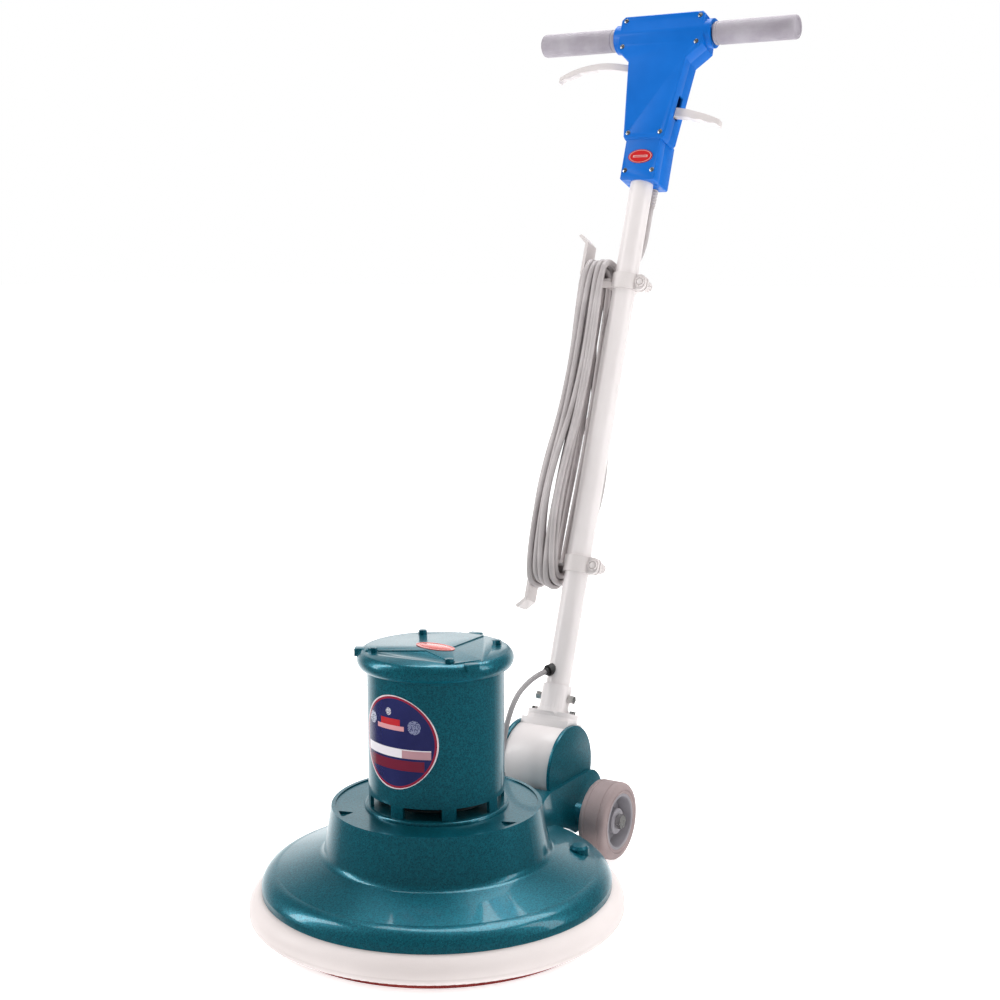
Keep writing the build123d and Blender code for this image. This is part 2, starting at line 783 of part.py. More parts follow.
drum_shell = 7.0
web_thickness = 8.0
saddle_v = 59.0
with BuildPart() as tilt_drum:
    with BuildSketch(beside(-drum_half_length)):
        Circle(drum_radius)
        Circle(drum_radius - drum_shell, mode=Mode.SUBTRACT)
    extrude(amount=2 * drum_half_length)
    with BuildSketch(beside(-drum_half_length)):
        Circle(drum_radius - 1.0)
        Circle(pivot_pin_radius + running, mode=Mode.SUBTRACT)
    extrude(amount=web_thickness)
    # shoulder that carries the socket, standing clear over the cheeks
    with BuildSketch(across(drum_radius - 6.0)):
        Rectangle(2 * drum_half_length, 42.0)
    extrude(amount=saddle_v - drum_radius + 7.0)
    with BuildSketch(across(saddle_v)):
        RectangleRounded(70.0, 40.0, 19.0)
    extrude(amount=6.0)
    with BuildSketch(across(drum_radius - drum_shell - 3.0)):
        Circle(9.0)
    extrude(amount=30.0, mode=Mode.SUBTRACT)
    for corner_u in (-28.5, 28.5):
        with BuildSketch(across(saddle_v + 1.0)):
            with Locations((corner_u, 0.0)):
                Circle(2.5)
        extrude(amount=10.0, mode=Mode.SUBTRACT)
save(tilt_drum, "tilt_drum")

with BuildPart() as drum_end_plate:
    with BuildSketch(beside(drum_half_length - web_thickness)):
        Circle(drum_radius - drum_shell)
        Circle(pivot_pin_radius + running, mode=Mode.SUBTRACT)
    extrude(amount=web_thickness)
save(drum_end_plate, "drum_end_plate")

# ---------------------------------------------------------------- neck socket and tube
socket_bottom = saddle_v + 6.0
socket_top = 107.0
spring_start, spring_end, spring_coil, spring_wire, spring_turns = 88.0, 146.0, 8.5, 0.9, 7
tube_bottom = socket_bottom + 8.0
tube_top = 884.0
with BuildPart() as neck_socket:
    with BuildSketch(across(socket_bottom)):
        RectangleRounded(70.0, 40.0, 19.0)
    extrude(amount=6.0)
    with BuildSketch(across(socket_bottom)):
        Circle(socket_radius)
    extrude(amount=socket_top - socket_bottom)
    with BuildSketch(across(socket_bottom + 5.0)):
        Circle(socket_radius + 3.0)
    with BuildSketch(across(socket_bottom + 12.0)):
        Circle(socket_radius)
    loft()
    with BuildSketch(across(tube_bottom)):
        Circle(tube_radius + running)
    extrude(amount=60.0, mode=Mode.SUBTRACT)
    with BuildSketch(across(socket_bottom)):
        Circle(9.0)
    extrude(amount=20.0, mode=Mode.SUBTRACT)
    for corner_u in (-28.5, 28.5):
        with BuildSketch(across(socket_bottom)):
            with Locations((corner_u, 0.0)):
                Circle(2.5)
        extrude(amount=10.0, mode=Mode.SUBTRACT)
    with BuildSketch(beside(-40.0, 90.0)):
        Circle(3.0)
    extrude(amount=80.0, mode=Mode.SUBTRACT)
save(neck_socket, "neck_socket")

with BuildPart() as neck_bolts:
    for corner_u in (-28.5, 28.5):
        with BuildSketch(across(saddle_v + 1.0)):
            with Locations((corner_u, 0.0)):
                Circle(2.5)
        extrude(amount=socket_bottom + 6.0 - saddle_v - 1.0)
        with BuildSketch(across(socket_bottom + 6.0)):
            with Locations((corner_u, 0.0)):
                RegularPolygon(4.6, 6)
        extrude(amount=4.0)
    for side in (-1, 1):
        shank = tube_radius + 0.2 if side > 0 else -(socket_radius + 3.0)
        with BuildSketch(beside(shank, 90.0)):
            Circle(3.0)
        extrude(amount=socket_radius + 3.0 - tube_radius - 0.2)
        head = socket_radius + 0.5 if side > 0 else -(socket_radius + 8.0)
        with BuildSketch(beside(head, 90.0)):
            RegularPolygon(5.8, 6)
        extrude(amount=7.5)
save(neck_bolts, "neck_bolts")

grommet_v = 133.0
lead_aside, lead_drop = radians(20.0), radians(8.0)
lead_out = Vector(-sin(lead_aside) * cos(lead_drop), -cos(lead_aside) * cos(lead_drop), -sin(lead_drop))
with BuildPart() as handle_tube:
    with BuildSketch(across(tube_bottom)):
        Circle(tube_radius)
        Circle(tube_radius - tube_wall, mode=Mode.SUBTRACT)
    extrude(amount=tube_top - tube_bottom)
    # inner collar that guides the brake rod and seats its spring
    with BuildSketch(across(spring_end)):
        Circle(tube_radius - 0.5)
        Circle(rod_radius + running, mode=Mode.SUBTRACT)
    extrude(amount=8.0)
    with BuildSketch(Plane(origin=on_handle(0, 0, grommet_v) + lead_out * 8.0, x_dir=along, z_dir=lead_out)):
        Circle(5.0)
    extrude(amount=12.0, mode=Mode.SUBTRACT)
save(handle_tube, "handle_tube")

nose_reach = 28.0
with BuildPart() as tube_grommet:
    with BuildSketch(Plane(origin=on_handle(0, 0, grommet_v) + lead_out * 14.0, x_dir=along, z_dir=lead_out)):
        Circle(7.5)
    extrude(amount=9.5)
    with BuildSketch(across(tube_bottom)):
        Circle(tube_radius + 0.02)
    extrude(amount=120.0, mode=Mode.SUBTRACT)
    with BuildSketch(Plane(origin=on_handle(0, 0, grommet_v) + lead_out * 15.0, x_dir=along, z_dir=lead_out)):
        Circle(4.9)
    extrude(amount=nose_reach - 15.0)
    with BuildSketch(Plane(origin=on_handle(0, 0, grommet_v) + lead_out * 12.0, x_dir=along, z_dir=lead_out)):
        Circle(lead_radius)
    extrude(amount=20.0, mode=Mode.SUBTRACT)
save(tube_grommet, "tube_grommet")

# ---------------------------------------------------------------- tilt brake
rod_top = 936.0
shoe_bottom = brake_radius + slip
shoe_top = shoe_bottom + 10.0
lift = 5.0
with BuildPart() as brake_rod:
    with BuildSketch(across(shoe_bottom - 4.0)):
        Rectangle(14.0, 14.0)
    extrude(amount=shoe_top - shoe_bottom + 4.0)
    with BuildSketch(beside(-12.0)):
        Circle(brake_radius + slip)
    extrude(amount=24.0, mode=Mode.SUBTRACT)
    with BuildSketch(across(shoe_top - 1.0)):
        Circle(rod_radius)
    extrude(amount=rod_top - shoe_top + 1.0)
    with BuildSketch(across(rod_top - 8.0)):
        Circle(7.0)
    extrude(amount=8.0)
    with BuildSketch(across(84.0)):
        Circle(8.5)
    extrude(amount=4.0)
save(brake_rod, "brake_rod")

spring_length = spring_end - spring_start - 2 * spring_wire - 0.4
with BuildPart() as upright_spring:
    with BuildLine():
        coil = Helix(pitch=spring_length / spring_turns, height=spring_length, radius=spring_coil)
    with BuildSketch(Plane(origin=coil @ 0, z_dir=coil % 0)):
        Circle(spring_wire)
    sweep(path=coil, is_frenet=True)
with BuildPart() as brake_spring:
    add(upright_spring.part.moved(across(spring_start + spring_wire + 0.2).location))
save(brake_spring, "brake_spring")

# ---------------------------------------------------------------- cable hooks
ear_u = 25.0


def cable_hook(v, up):
    """Clamp band with ears on one side and a bent strip hook on the other; up is 1 or -1."""
    with BuildPart() as made:
        with BuildSketch(across(v - 11.0)):
            Circle(tube_radius + 3.0)
            with Locations((ear_u - 3.5, 0)):
                Rectangle(23.0, 13.0)
            Circle(tube_radius + 0.1, mode=Mode.SUBTRACT)
            with Locations((ear_u, 0)):
                Rectangle(26.0, 3.0, mode=Mode.SUBTRACT)
        extrude(amount=22.0)
        ear_ends = made.edges().filter_by(
            lambda edge: edge.center().X > ear_u + 7.9 and edge.length < 10.0
        )
        fillet(ear_ends, 8.0)
        with BuildSketch(facing(-strip_width / 2)):
            with BuildLine():
                arm_under = v - up * strip_thickness / 2
                arm_over = v + up * strip_thickness / 2
                bend = 7.0
                Polyline(
                    (-tube_radius - 1.0, arm_over),
                    (-hook_reach + strip_thickness, arm_over),
                    (-hook_reach + strip_thickness, v + up * (blade_length - 12.0)),
                    (-hook_reach - 8.0, v + up * blade_length),
                    (-hook_reach - 12.0, v + up * (blade_length - 2.5)),
                    (-hook_reach, v + up * (blade_length - 14.0)),
                    (-hook_reach, arm_over + up * bend),
                    (-hook_reach + bend, arm_under),
                    (-tube_radius - 1.0, arm_under),
                    close=True,
                )
            make_face()
        extrude(amount=strip_width)
        with BuildSketch(across(v - 40.0)):
            Circle(tube_radius + 0.1)
        extrude(amount=80.0, mode=Mode.SUBTRACT)
        with BuildSketch(facing(-20.0)):
            with Locations((ear_u + 1.0, v)):
                Circle(3.0)
        extrude(amount=40.0, mode=Mode.SUBTRACT)
    return made


upper_hook = cable_hook(upper_hook_v, 1)
save(upper_hook, "upper_hook")
lower_hook = cable_hook(lower_hook_v, -1)
save(lower_hook, "lower_hook")

with BuildPart() as hook_bolts:
    for v in (upper_hook_v, lower_hook_v):
        with BuildSketch(facing(-13.0)):
            with Locations((ear_u + 1.0, v)):
                Circle(3.0)
        extrude(amount=22.0)
        with BuildSketch(facing(6.6)):
            with Locations((ear_u + 1.0, v)):
                Circle(6.6)
        extrude(amount=3.4)
        with BuildSketch(facing(-18.0)):
            with Locations((ear_u + 1.0, v)):
                RegularPolygon(7.0, 6)
        extrude(amount=11.4)
save(hook_bolts, "hook_bolts")

# ---------------------------------------------------------------- handle head
head_outline = [
    (-60.0, 1059.0),
    (60.0, 1059.0),
    (65.0, 1054.0),
    (66.0, 1010.0),
    (61.0, 1005.0),
    (44.0, 990.0),
    (31.5, 876.0),
    (28.0, 871.0),
    (-28.0, 871.0),
    (-31.5, 876.0),
    (-44.0, 990.0),
    (-61.0, 1005.0),
    (-66.0, 1010.0),
    (-65.0, 1054.0),
]
neck_bottom = 812.0
head_bottom = 871.0
boss_radius = 20.5
boss_reach = 74.0
cord_gland_u, cord_gland_w = 8.0, -23.5
head_screw_spots = [
    (-57.0, 1052.0),
    (57.0, 1052.0),
    (-57.0, 1013.0),
    (57.0, 1013.0),
    (-24.5, 881.0),
    (24.5, 881.0),
]
neck_screw_spots = [(-20.5, 826.0), (20.5, 826.0)]
switch_pivot = (-14.0, 977.0)
release_pivot = (-16.0, 922.0)


def head_shell(keep):
    """One half of the handle's head, split through the bar's axis."""
    with BuildPart() as made:
        with BuildSketch(facing(head_back)):
            with BuildLine():
                Polyline(*head_outline, close=True)
            make_face()
        extrude(amount=head_front - head_back)
        outer_faces = made.faces().sort_by(Axis((0, 0, 0), tuple(frontward)))
        chamfer(outer_faces[-1].edges(), 1.6)
        chamfer(made.faces().sort_by(Axis((0, 0, 0), tuple(frontward)))[0].edges(), 1.6)
        with BuildSketch(facing(neck_back)):
            with Locations((0, (neck_bottom + head_bottom) / 2 + 3.0)):
                RectangleRounded(2 * neck_half_width, head_bottom - neck_bottom + 6.0, 2.5)
        extrude(amount=neck_front - neck_back)
        with BuildSketch(beside(-boss_reach, bar_v)):
            Circle(boss_radius)
        extrude(amount=2 * boss_reach)
        # room inside
        with BuildSketch(facing(head_back + head_wall)):
            with BuildLine():
                Polyline(*head_outline, close=True)
            make_face()
            offset(amount=-head_wall, kind=Kind.INTERSECTION, mode=Mode.REPLACE)
        extrude(amount=head_front - head_back - 2 * head_wall, mode=Mode.SUBTRACT)
        with BuildSketch(facing(neck_back + head_wall)):
            with Locations((0, (neck_bottom + head_bottom) / 2 + 4.0)):
                Rectangle(2 * (neck_half_width - head_wall), head_bottom - neck_bottom + 2.0)
        extrude(amount=neck_front - neck_back - 2 * head_wall + 0.5, mode=Mode.SUBTRACT)
        # screw pillars
        for spots, depth in ((head_screw_spots, head_front), (neck_screw_spots, neck_front)):
            back = head_back if depth == head_front else neck_back
            with BuildSketch(facing(back + 1.0)):
                with Locations(*spots):
                    Circle(3.9)
            extrude(amount=depth - back - 2.0)
        # openings for the bar, the tube, the cord and the two levers
        with BuildSketch(beside(-boss_reach - 1.0, bar_v)):
            Circle(bar_radius + running)
        extrude(amount=2 * boss_reach + 2.0, mode=Mode.SUBTRACT)
        with BuildSketch(across(neck_bottom - 4.0)):
            Circle(tube_radius + running)
        extrude(amount=tube_top - neck_bottom + 4.0, mode=Mode.SUBTRACT)
        with BuildSketch(across(neck_bottom - 4.0, cord_gland_u, cord_gland_w)):
            Circle(5.0)
        extrude(amount=12.0, mode=Mode.SUBTRACT)
        with BuildSketch(beside(-60.0, 988.0)):
            Rectangle(14.0, 30.0)
        extrude(amount=26.0, mode=Mode.SUBTRACT)
        with BuildSketch(beside(26.0, 923.0)):
            Rectangle(13.0, 34.0)
        extrude(amount=20.0, mode=Mode.SUBTRACT)
        # pillars that hold the lever pins, bored for them
        with BuildSketch(facing(head_back + 1.0)):
            with Locations(switch_pivot, release_pivot):
                Circle(5.5)
        extrude(amount=-head_back - 1.0 - 6.3)
        with BuildSketch(facing(6.3)):
            with Locations(switch_pivot, release_pivot):
                Circle(5.5)
        extrude(amount=head_front - 7.3)
        with BuildSketch(facing(head_back + 4.0)):
            with Locations(switch_pivot, release_pivot):
                Circle(3.0)
        extrude(amount=head_front - head_back - 8.0, mode=Mode.SUBTRACT)
        # countersunk screw seats
        for spots, depth in ((head_screw_spots, head_front), (neck_screw_spots, neck_front)):
            with BuildSketch(facing(depth - 1.5)):
                with Locations(*spots):
                    Circle(3.5)
            extrude(amount=6.0, mode=Mode.SUBTRACT)
            with BuildSketch(facing(-12.0)):
                with Locations(*spots):
                    Circle(1.6)
            extrude(amount=40.0, mode=Mode.SUBTRACT)
        split(bisect_by=facing(0.0), keep=keep)
    return made


head_front_shell = head_shell(Keep.TOP)
save(head_front_shell, "head_front_shell")
head_rear_shell = head_shell(Keep.BOTTOM)
save(head_rear_shell, "head_rear_shell")

with BuildPart() as head_screws:
    for spots, depth in ((head_screw_spots, head_front), (neck_screw_spots, neck_front)):
        with BuildSketch(facing(depth - 1.5)):
            with Locations(*spots):
                Circle(3.5)
        extrude(amount=1.3)
        with BuildSketch(facing(-12.0)):
            with Locations(*spots):
                Circle(1.6)
        extrude(amount=depth - 1.5 + 12.0)
save(head_screws, "head_screws")

with BuildPart() as head_badge:
    with BuildSketch(facing(neck_front)):
        with Locations((0, 846.0)):
            Ellipse(18.5, 10.0)
    extrude(amount=0.8)
save(head_badge, "head_badge")

with BuildPart() as handlebar:
    with BuildSketch(beside(-bar_half_span, bar_v)):
        Circle(bar_radius)
        Circle(bar_radius - 2.0, mode=Mode.SUBTRACT)
    extrude(amount=2 * bar_half_span)
save(handlebar, "handlebar")


def hand_grip(side):
    """Closed-end grip pushed on one end of the bar; side is 1 or -1."""
    start = grip_start if side > 0 else -grip_end
    end = grip_end if side > 0 else -grip_start
    with BuildPart() as made:
        with BuildSketch(beside(start, bar_v)):
            Circle(grip_radius)
        extrude(amount=end - start)
        bore_start = start if side > 0 else -bar_half_span
        with BuildSketch(beside(bore_start, bar_v)):
            Circle(bar_radius)
        extrude(amount=bar_half_span - grip_start, mode=Mode.SUBTRACT)
        dish = grip_end - 1.5 if side > 0 else -grip_end
        with BuildSketch(beside(dish, bar_v)):
            Circle(grip_radius - 4.0)
        extrude(amount=1.5, mode=Mode.SUBTRACT)
    return made


left_grip = hand_grip(-1)
save(left_grip, "left_grip")
right_grip = hand_grip(1)
save(right_grip, "right_grip")

# ---------------------------------------------------------------- levers and what they work
def hand_lever(pivot_spot, centre_line, half_widths, lever_half, hole=None):
    """Flat hand lever with a finger-scalloped underside, bored for its pin."""
    with BuildPart() as made:
        with BuildSketch(facing(-lever_half)):
            with Locations(pivot_spot):
                Circle(7.0)
            top = [(u, v + half) for (u, v), half in zip(centre_line, half_widths)]
            under = [(u, v - half) for (u, v), half in zip(centre_line, half_widths)]
            with BuildLine():
                Spline(*top)
                Spline(*under)
                Line(top[0], under[0])
                Line(top[-1], under[-1])
            make_face()
            scallops = centre_line[-4:]
            for (u, v), (next_u, next_v), half in zip(scallops, scallops[1:], half_widths[-4:]):
                with Locations(((u + next_u) / 2, (v + next_v) / 2 - half - 10.6)):
                    Circle(12.0, mode=Mode.SUBTRACT)
        extrude(amount=2 * lever_half)
        with BuildSketch(facing(-lever_half)):
            with Locations(pivot_spot):
                Circle(3.0 + running)
        extrude(amount=2 * lever_half, mode=Mode.SUBTRACT)
        if hole:
            with BuildSketch(across(hole[1], hole[0])):
                Rectangle(12.0, 2 * rod_radius + 0.4)
            extrude(amount=40.0, both=True, mode=Mode.SUBTRACT)
    return made


switch_line = [
    (-12.0, 977.0),
    (-40.0, 984.0),
    (-62.0, 989.0),
    (-86.0, 992.0),
    (-112.0, 991.0),
    (-137.0, 985.5),
    (-160.0, 975.0),
]
switch_lever = hand_lever(switch_pivot, switch_line, [5.5, 5.5, 5.2, 5.2, 5.0, 4.8, 4.2], 5.0)
save(switch_lever, "switch_lever")

release_line = [
    (-16.0, 922.0),
    (4.0, 919.5),
    (24.0, 917.0),
    (44.0, 914.5),
    (62.0, 910.5),
    (82.0, 905.0),
    (104.0, 897.0),
]
release_lever = hand_lever(
    release_pivot,
    release_line,
    [5.5, 5.5, 6.2, 6.2, 5.8, 5.2, 4.4],
    6.0,
    hole=(0.0, 919.0),
)
save(release_lever, "release_lever")

with BuildPart() as lever_pins:
    with BuildSketch(facing(head_back + 4.2)):
        with Locations(switch_pivot, release_pivot):
            Circle(3.0)
    extrude(amount=head_front - head_back - 8.4)
save(lever_pins, "lever_pins")

with BuildPart() as trigger_switch:
    with BuildSketch(facing(-7.0)):
        with Locations((-27.0, 1001.75)):
            Rectangle(28.0, 12.5)
    extrude(amount=14.0)
    with BuildSketch(facing(-2.0)):
        with Locations((-27.0, 993.2)):
            Rectangle(3.6, 5.6)
    extrude(amount=4.0)
save(trigger_switch, "trigger_switch")

with BuildPart() as cord_gland:
    with BuildSketch(across(neck_bottom - 26.0, cord_gland_u, cord_gland_w)):
        Circle(cord_radius + 1.4)
    with BuildSketch(across(neck_bottom, cord_gland_u, cord_gland_w)):
        Circle(6.3)
    loft()
    with BuildSketch(across(neck_bottom, cord_gland_u, cord_gland_w)):
        Circle(4.95)
    extrude(amount=5.0)
save(cord_gland, "cord_gland")

# ---------------------------------------------------------------- wheels
for side, name in ((-1, "left"), (1, "right")):
    inner_face = wheel_inner_x if side > 0 else -wheel_outer_x
    with BuildPart() as tyre:
        with BuildSketch(Plane.YZ.offset(inner_face)):
            with Locations((wheel_y, wheel_z)):
                Circle(wheel_radius)
                Circle(wheel_radius - 14.0, mode=Mode.SUBTRACT)
        extrude(amount=wheel_width)
        rim_edges = (
            tyre.edges()
            .filter_by(GeomType.CIRCLE)
            .filter_by(lambda edge: abs(edge.radius - wheel_radius) < 0.01)
        )
        fillet(rim_edges, 5.0)
    save(tyre, f"{name}_tyre")
    with BuildPart() as hub:
        with BuildSketch(Plane.YZ.offset(inner_face)):
            with Locations((wheel_y, wheel_z)):
                Circle(wheel_radius - 14.0)
                Circle(wheel_radius - 18.0, mode=Mode.SUBTRACT)
        extrude(amount=wheel_width)
        web = wheel_inner_x + 12.0 if side > 0 else -wheel_inner_x - 18.0
        with BuildSketch(Plane.YZ.offset(web)):
            with Locations((wheel_y, wheel_z)):
                Circle(wheel_radius - 17.0)
        extrude(amount=6.0)
        boss = wheel_inner_x if side > 0 else -wheel_inner_x - wheel_width + 4.0
        with BuildSketch(Plane.YZ.offset(boss)):
            with Locations((wheel_y, wheel_z)):
                Circle(14.5)
        extrude(amount=wheel_width - 4.0)
        with BuildSketch(Plane.YZ.offset(inner_face - 5.0)):
            with Locations((wheel_y, wheel_z)):
                Circle(wheel_bolt_radius + running)
        extrude(amount=wheel_width + 10.0, mode=Mode.SUBTRACT)
    save(hub, f"{name}_hub")

with BuildPart() as wheel_bolts:
    for side in (-1, 1):
        shank_start = bolt_seat - 6.0 if side > 0 else -(wheel_outer_x - 3.5)
        with BuildSketch(Plane.YZ.offset(shank_start)):
            with Locations((wheel_y, wheel_z)):
                Circle(wheel_bolt_radius)
        extrude(amount=wheel_outer_x - 3.5 - bolt_seat + 6.0)
        head_start = wheel_outer_x - 3.5 if side > 0 else -(wheel_outer_x + 2.5)
        with BuildSketch(Plane.YZ.offset(head_start)):
            with Locations((wheel_y, wheel_z)):
                RegularPolygon(9.5, 6)
        extrude(amount=6.0)
        nut_start = bolt_seat - 6.0 if side > 0 else -bolt_seat
        with BuildSketch(Plane.YZ.offset(nut_start)):
            with Locations((wheel_y, wheel_z)):
                RegularPolygon(9.5, 6)
        extrude(amount=6.0)
save(wheel_bolts, "wheel_bolts")

# ---------------------------------------------------------------- motor lead and its gland
gland_nose = fork_top + 21.0
with BuildPart() as lead_gland:
    with BuildSketch(Plane.XY.offset(ledge_bottom - 2.0)):
        with Locations(gland_spot):
            Circle(4.9)
    extrude(amount=fork_top - ledge_bottom + 2.0)
    with BuildSketch(Plane.XY.offset(fork_top)):
        with Locations(gland_spot):
            RegularPolygon(8.5, 6)
    extrude(amount=6.0)
    with BuildSketch(Plane.XY.offset(fork_top + 6.0)):
        with Locations(gland_spot):
            Circle(6.5)
    with BuildSketch(Plane.XY.offset(gland_nose)):
        with Locations(gland_spot):
            Circle(lead_radius + 1.2)
    loft()
save(lead_gland, "lead_gland")

lead_end = on_handle(0, 0, grommet_v) + lead_out * nose_reach
lead_bend = lead_end + lead_out * 16.0
lead_route = [
    (gland_spot[0], gland_spot[1], gland_nose),
    (gland_spot[0], gland_spot[1], gland_nose + 15.0),
    (-19.3, 184.5, 153.0),
    (-20.0, 192.0, 171.0),
    (-20.8, 202.5, 189.0),
    (-21.3, 216.5, 205.5),
    (-20.2, 233.5, 219.0),
    (lead_bend.X, lead_bend.Y, lead_bend.Z),
    (lead_end.X, lead_end.Y, lead_end.Z),
]
cord_route = [
    tuple(on_handle(cord_gland_u, cord_gland_w, neck_bottom - 26.0)),
    tuple(on_handle(cord_gland_u, cord_gland_w, 756.0)),
    tuple(on_handle(4.5, -29.0, 728.0)),
    tuple(on_handle(-7.0, -35.0, 704.0)),
    tuple(on_handle(-24.0, -37.0, 684.0)),
    tuple(on_handle(-40.0, -36.0, 664.0)),
]


def bend_radii(route):
    """The largest arc that each corner of a route allows: 0.45 of its shorter run over tan(turn / 2)."""
    radii = []
    for before, here, after in zip(route, route[1:], route[2:]):
        first, second = Vector(*here) - Vector(*before), Vector(*after) - Vector(*here)
        turn = radians(first.get_angle(second))
        radii.append(0.45 * min(first.length, second.length) / tan(turn / 2))
    return radii


def cord_tube(route, radius, name):
    """Round cord along straight runs joined by tangent arcs; prints its radii and length."""
    with BuildPart() as made:
        with BuildLine() as path:
            FilletPolyline(*route, radius=bend_radii(route))
        start = path.wires()[0]
        with BuildSketch(Plane(origin=start @ 0, z_dir=start % 0)):
            Circle(radius)
        sweep(path=start)
    expected = pi * radius**2 * start.length
    radii = ", ".join(f"{bend:.0f}" for bend in bend_radii(route))
    print(f"{name}: length {start.length:.0f}, radii {radii}, volume ratio {made.part.volume / expected:.4f}")
    return made


motor_lead = cord_tube(lead_route, lead_radius, "motor_lead")
save(motor_lead, "motor_lead")
mains_cord = cord_tube(cord_route, cord_radius, "mains_cord")
save(mains_cord, "mains_cord")

# ---------------------------------------------------------------- cord wound on the two hooks
hank_top = upper_hook_v + 37.0
hank_bottom = lower_hook_v - 37.0
hank_left, hank_right = -61.0, -21.5
inner_half = strip_width / 2 + 1.0
with BuildPart() as cord_hank:
    with BuildSketch(beside(hank_left, (hank_top + hank_bottom) / 2)):
        SlotOverall(hank_top - hank_bottom, 78.0, rotation=90)
        RectangleRounded(
            2 * inner_half,
            upper_hook_v - lower_hook_v + strip_thickness + 1.4,
            0.8,
            mode=Mode.SUBTRACT,
        )
    extrude(amount=hank_right - hank_left)
    # turns that sag round behind the tube
    with BuildSketch(beside(hank_right, 345.0, -31.0)):
        SlotOverall(150.0, 18.0, rotation=90)
    extrude(amount=31.0)
save(cord_hank, "cord_hank")

# ---------------------------------------------------------------- plug tucked behind the wound cord
plug_front, plug_v, plug_u = -39.0 - 18.0, 470.0, -41.0
with BuildPart() as mains_plug:
    with BuildSketch(across(plug_v, plug_u, plug_front)):
        RectangleRounded(30.0, 31.0, 8.0)
    with BuildSketch(across(plug_v + 34.0, plug_u, plug_front)):
        RectangleRounded(20.0, 22.0, 6.0)
    loft()
    with BuildSketch(across(plug_v - 6.0, plug_u, plug_front)):
        Circle(17.5)
    extrude(amount=6.0)
    with BuildSketch(across(plug_v - 25.0, plug_u, plug_front)):
        with Locations((-9.5, 0), (9.5, 0)):
            Circle(2.4)
    extrude(amount=20.0)
save(mains_plug, "mains_plug")
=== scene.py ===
"""Dresses the single-disc floor burnisher: finishes, moulded and turned details, cords, lights and camera.

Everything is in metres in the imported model's frame: the floor at Z = 0 under the disc's axis, the front
at -Y and the operator at +Y. Pieces of the handle are modelled upright about the tilt pivot, with Z up the
tube, and are then leaned back into place.
"""

from __future__ import annotations

import logging
from dataclasses import dataclass
from enum import Enum
from math import cos, pi, radians, sin
from typing import Callable, Iterable, Sequence

import bmesh
import bpy
from mathutils import Matrix, Vector

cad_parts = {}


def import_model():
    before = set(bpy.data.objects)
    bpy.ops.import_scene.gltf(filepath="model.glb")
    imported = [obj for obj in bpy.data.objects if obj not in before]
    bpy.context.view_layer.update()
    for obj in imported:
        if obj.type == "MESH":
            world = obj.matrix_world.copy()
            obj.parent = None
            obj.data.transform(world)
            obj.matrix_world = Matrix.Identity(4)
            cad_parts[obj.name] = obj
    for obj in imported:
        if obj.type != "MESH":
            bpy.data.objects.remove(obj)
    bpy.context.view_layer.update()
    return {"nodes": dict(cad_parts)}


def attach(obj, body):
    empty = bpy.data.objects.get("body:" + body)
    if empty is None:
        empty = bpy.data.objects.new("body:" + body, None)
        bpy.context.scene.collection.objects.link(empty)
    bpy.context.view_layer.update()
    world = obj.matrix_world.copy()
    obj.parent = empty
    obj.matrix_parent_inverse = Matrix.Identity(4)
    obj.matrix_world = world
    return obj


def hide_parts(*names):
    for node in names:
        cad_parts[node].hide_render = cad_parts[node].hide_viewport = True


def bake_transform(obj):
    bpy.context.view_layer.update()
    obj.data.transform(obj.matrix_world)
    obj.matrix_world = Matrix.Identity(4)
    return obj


logging.basicConfig(level=logging.INFO, format="%(name)s: %(message)s")
LOG = logging.getLogger("burnisher")

Point = tuple[float, float, float]
Colour = tuple[float, float, float]

PIVOT = Vector((0.0, 0.260, 0.113))
LEAN = radians(20.0)
UPRIGHT_TO_LEANT = Matrix.Translation(PIVOT) @ Matrix.Rotation(-LEAN, 4, "X")
MM = 0.001


class Body(str, Enum):
    """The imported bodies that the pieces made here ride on."""

    BASE = "base"
    HANDLE = "handle"
    SWITCH = "switch"
    RELEASE = "release"
    LEFT_WHEEL = "left_wheel"
    RIGHT_WHEEL = "right_wheel"


def on_handle(u: float, front: float, v: float) -> Vector:
    """Gives a point of the leant handle in the model's frame.

    Args:
        u: Millimetres across, to +X.
        front: Millimetres before the tube's centre line.
        v: Millimetres up the tube from the tilt pivot.

    Returns:
        The point in metres.
    """
    return UPRIGHT_TO_LEANT @ Vector((u * MM, -front * MM, v * MM))


# ---------------------------------------------------------------------------------------- modelling
def deselect() -> None:
    """Leaves edit mode if it is on and deselects every object."""
    if bpy.context.object is not None and bpy.context.object.mode != "OBJECT":
        bpy.ops.object.mode_set(mode="OBJECT")
    bpy.ops.object.select_all(action="DESELECT")


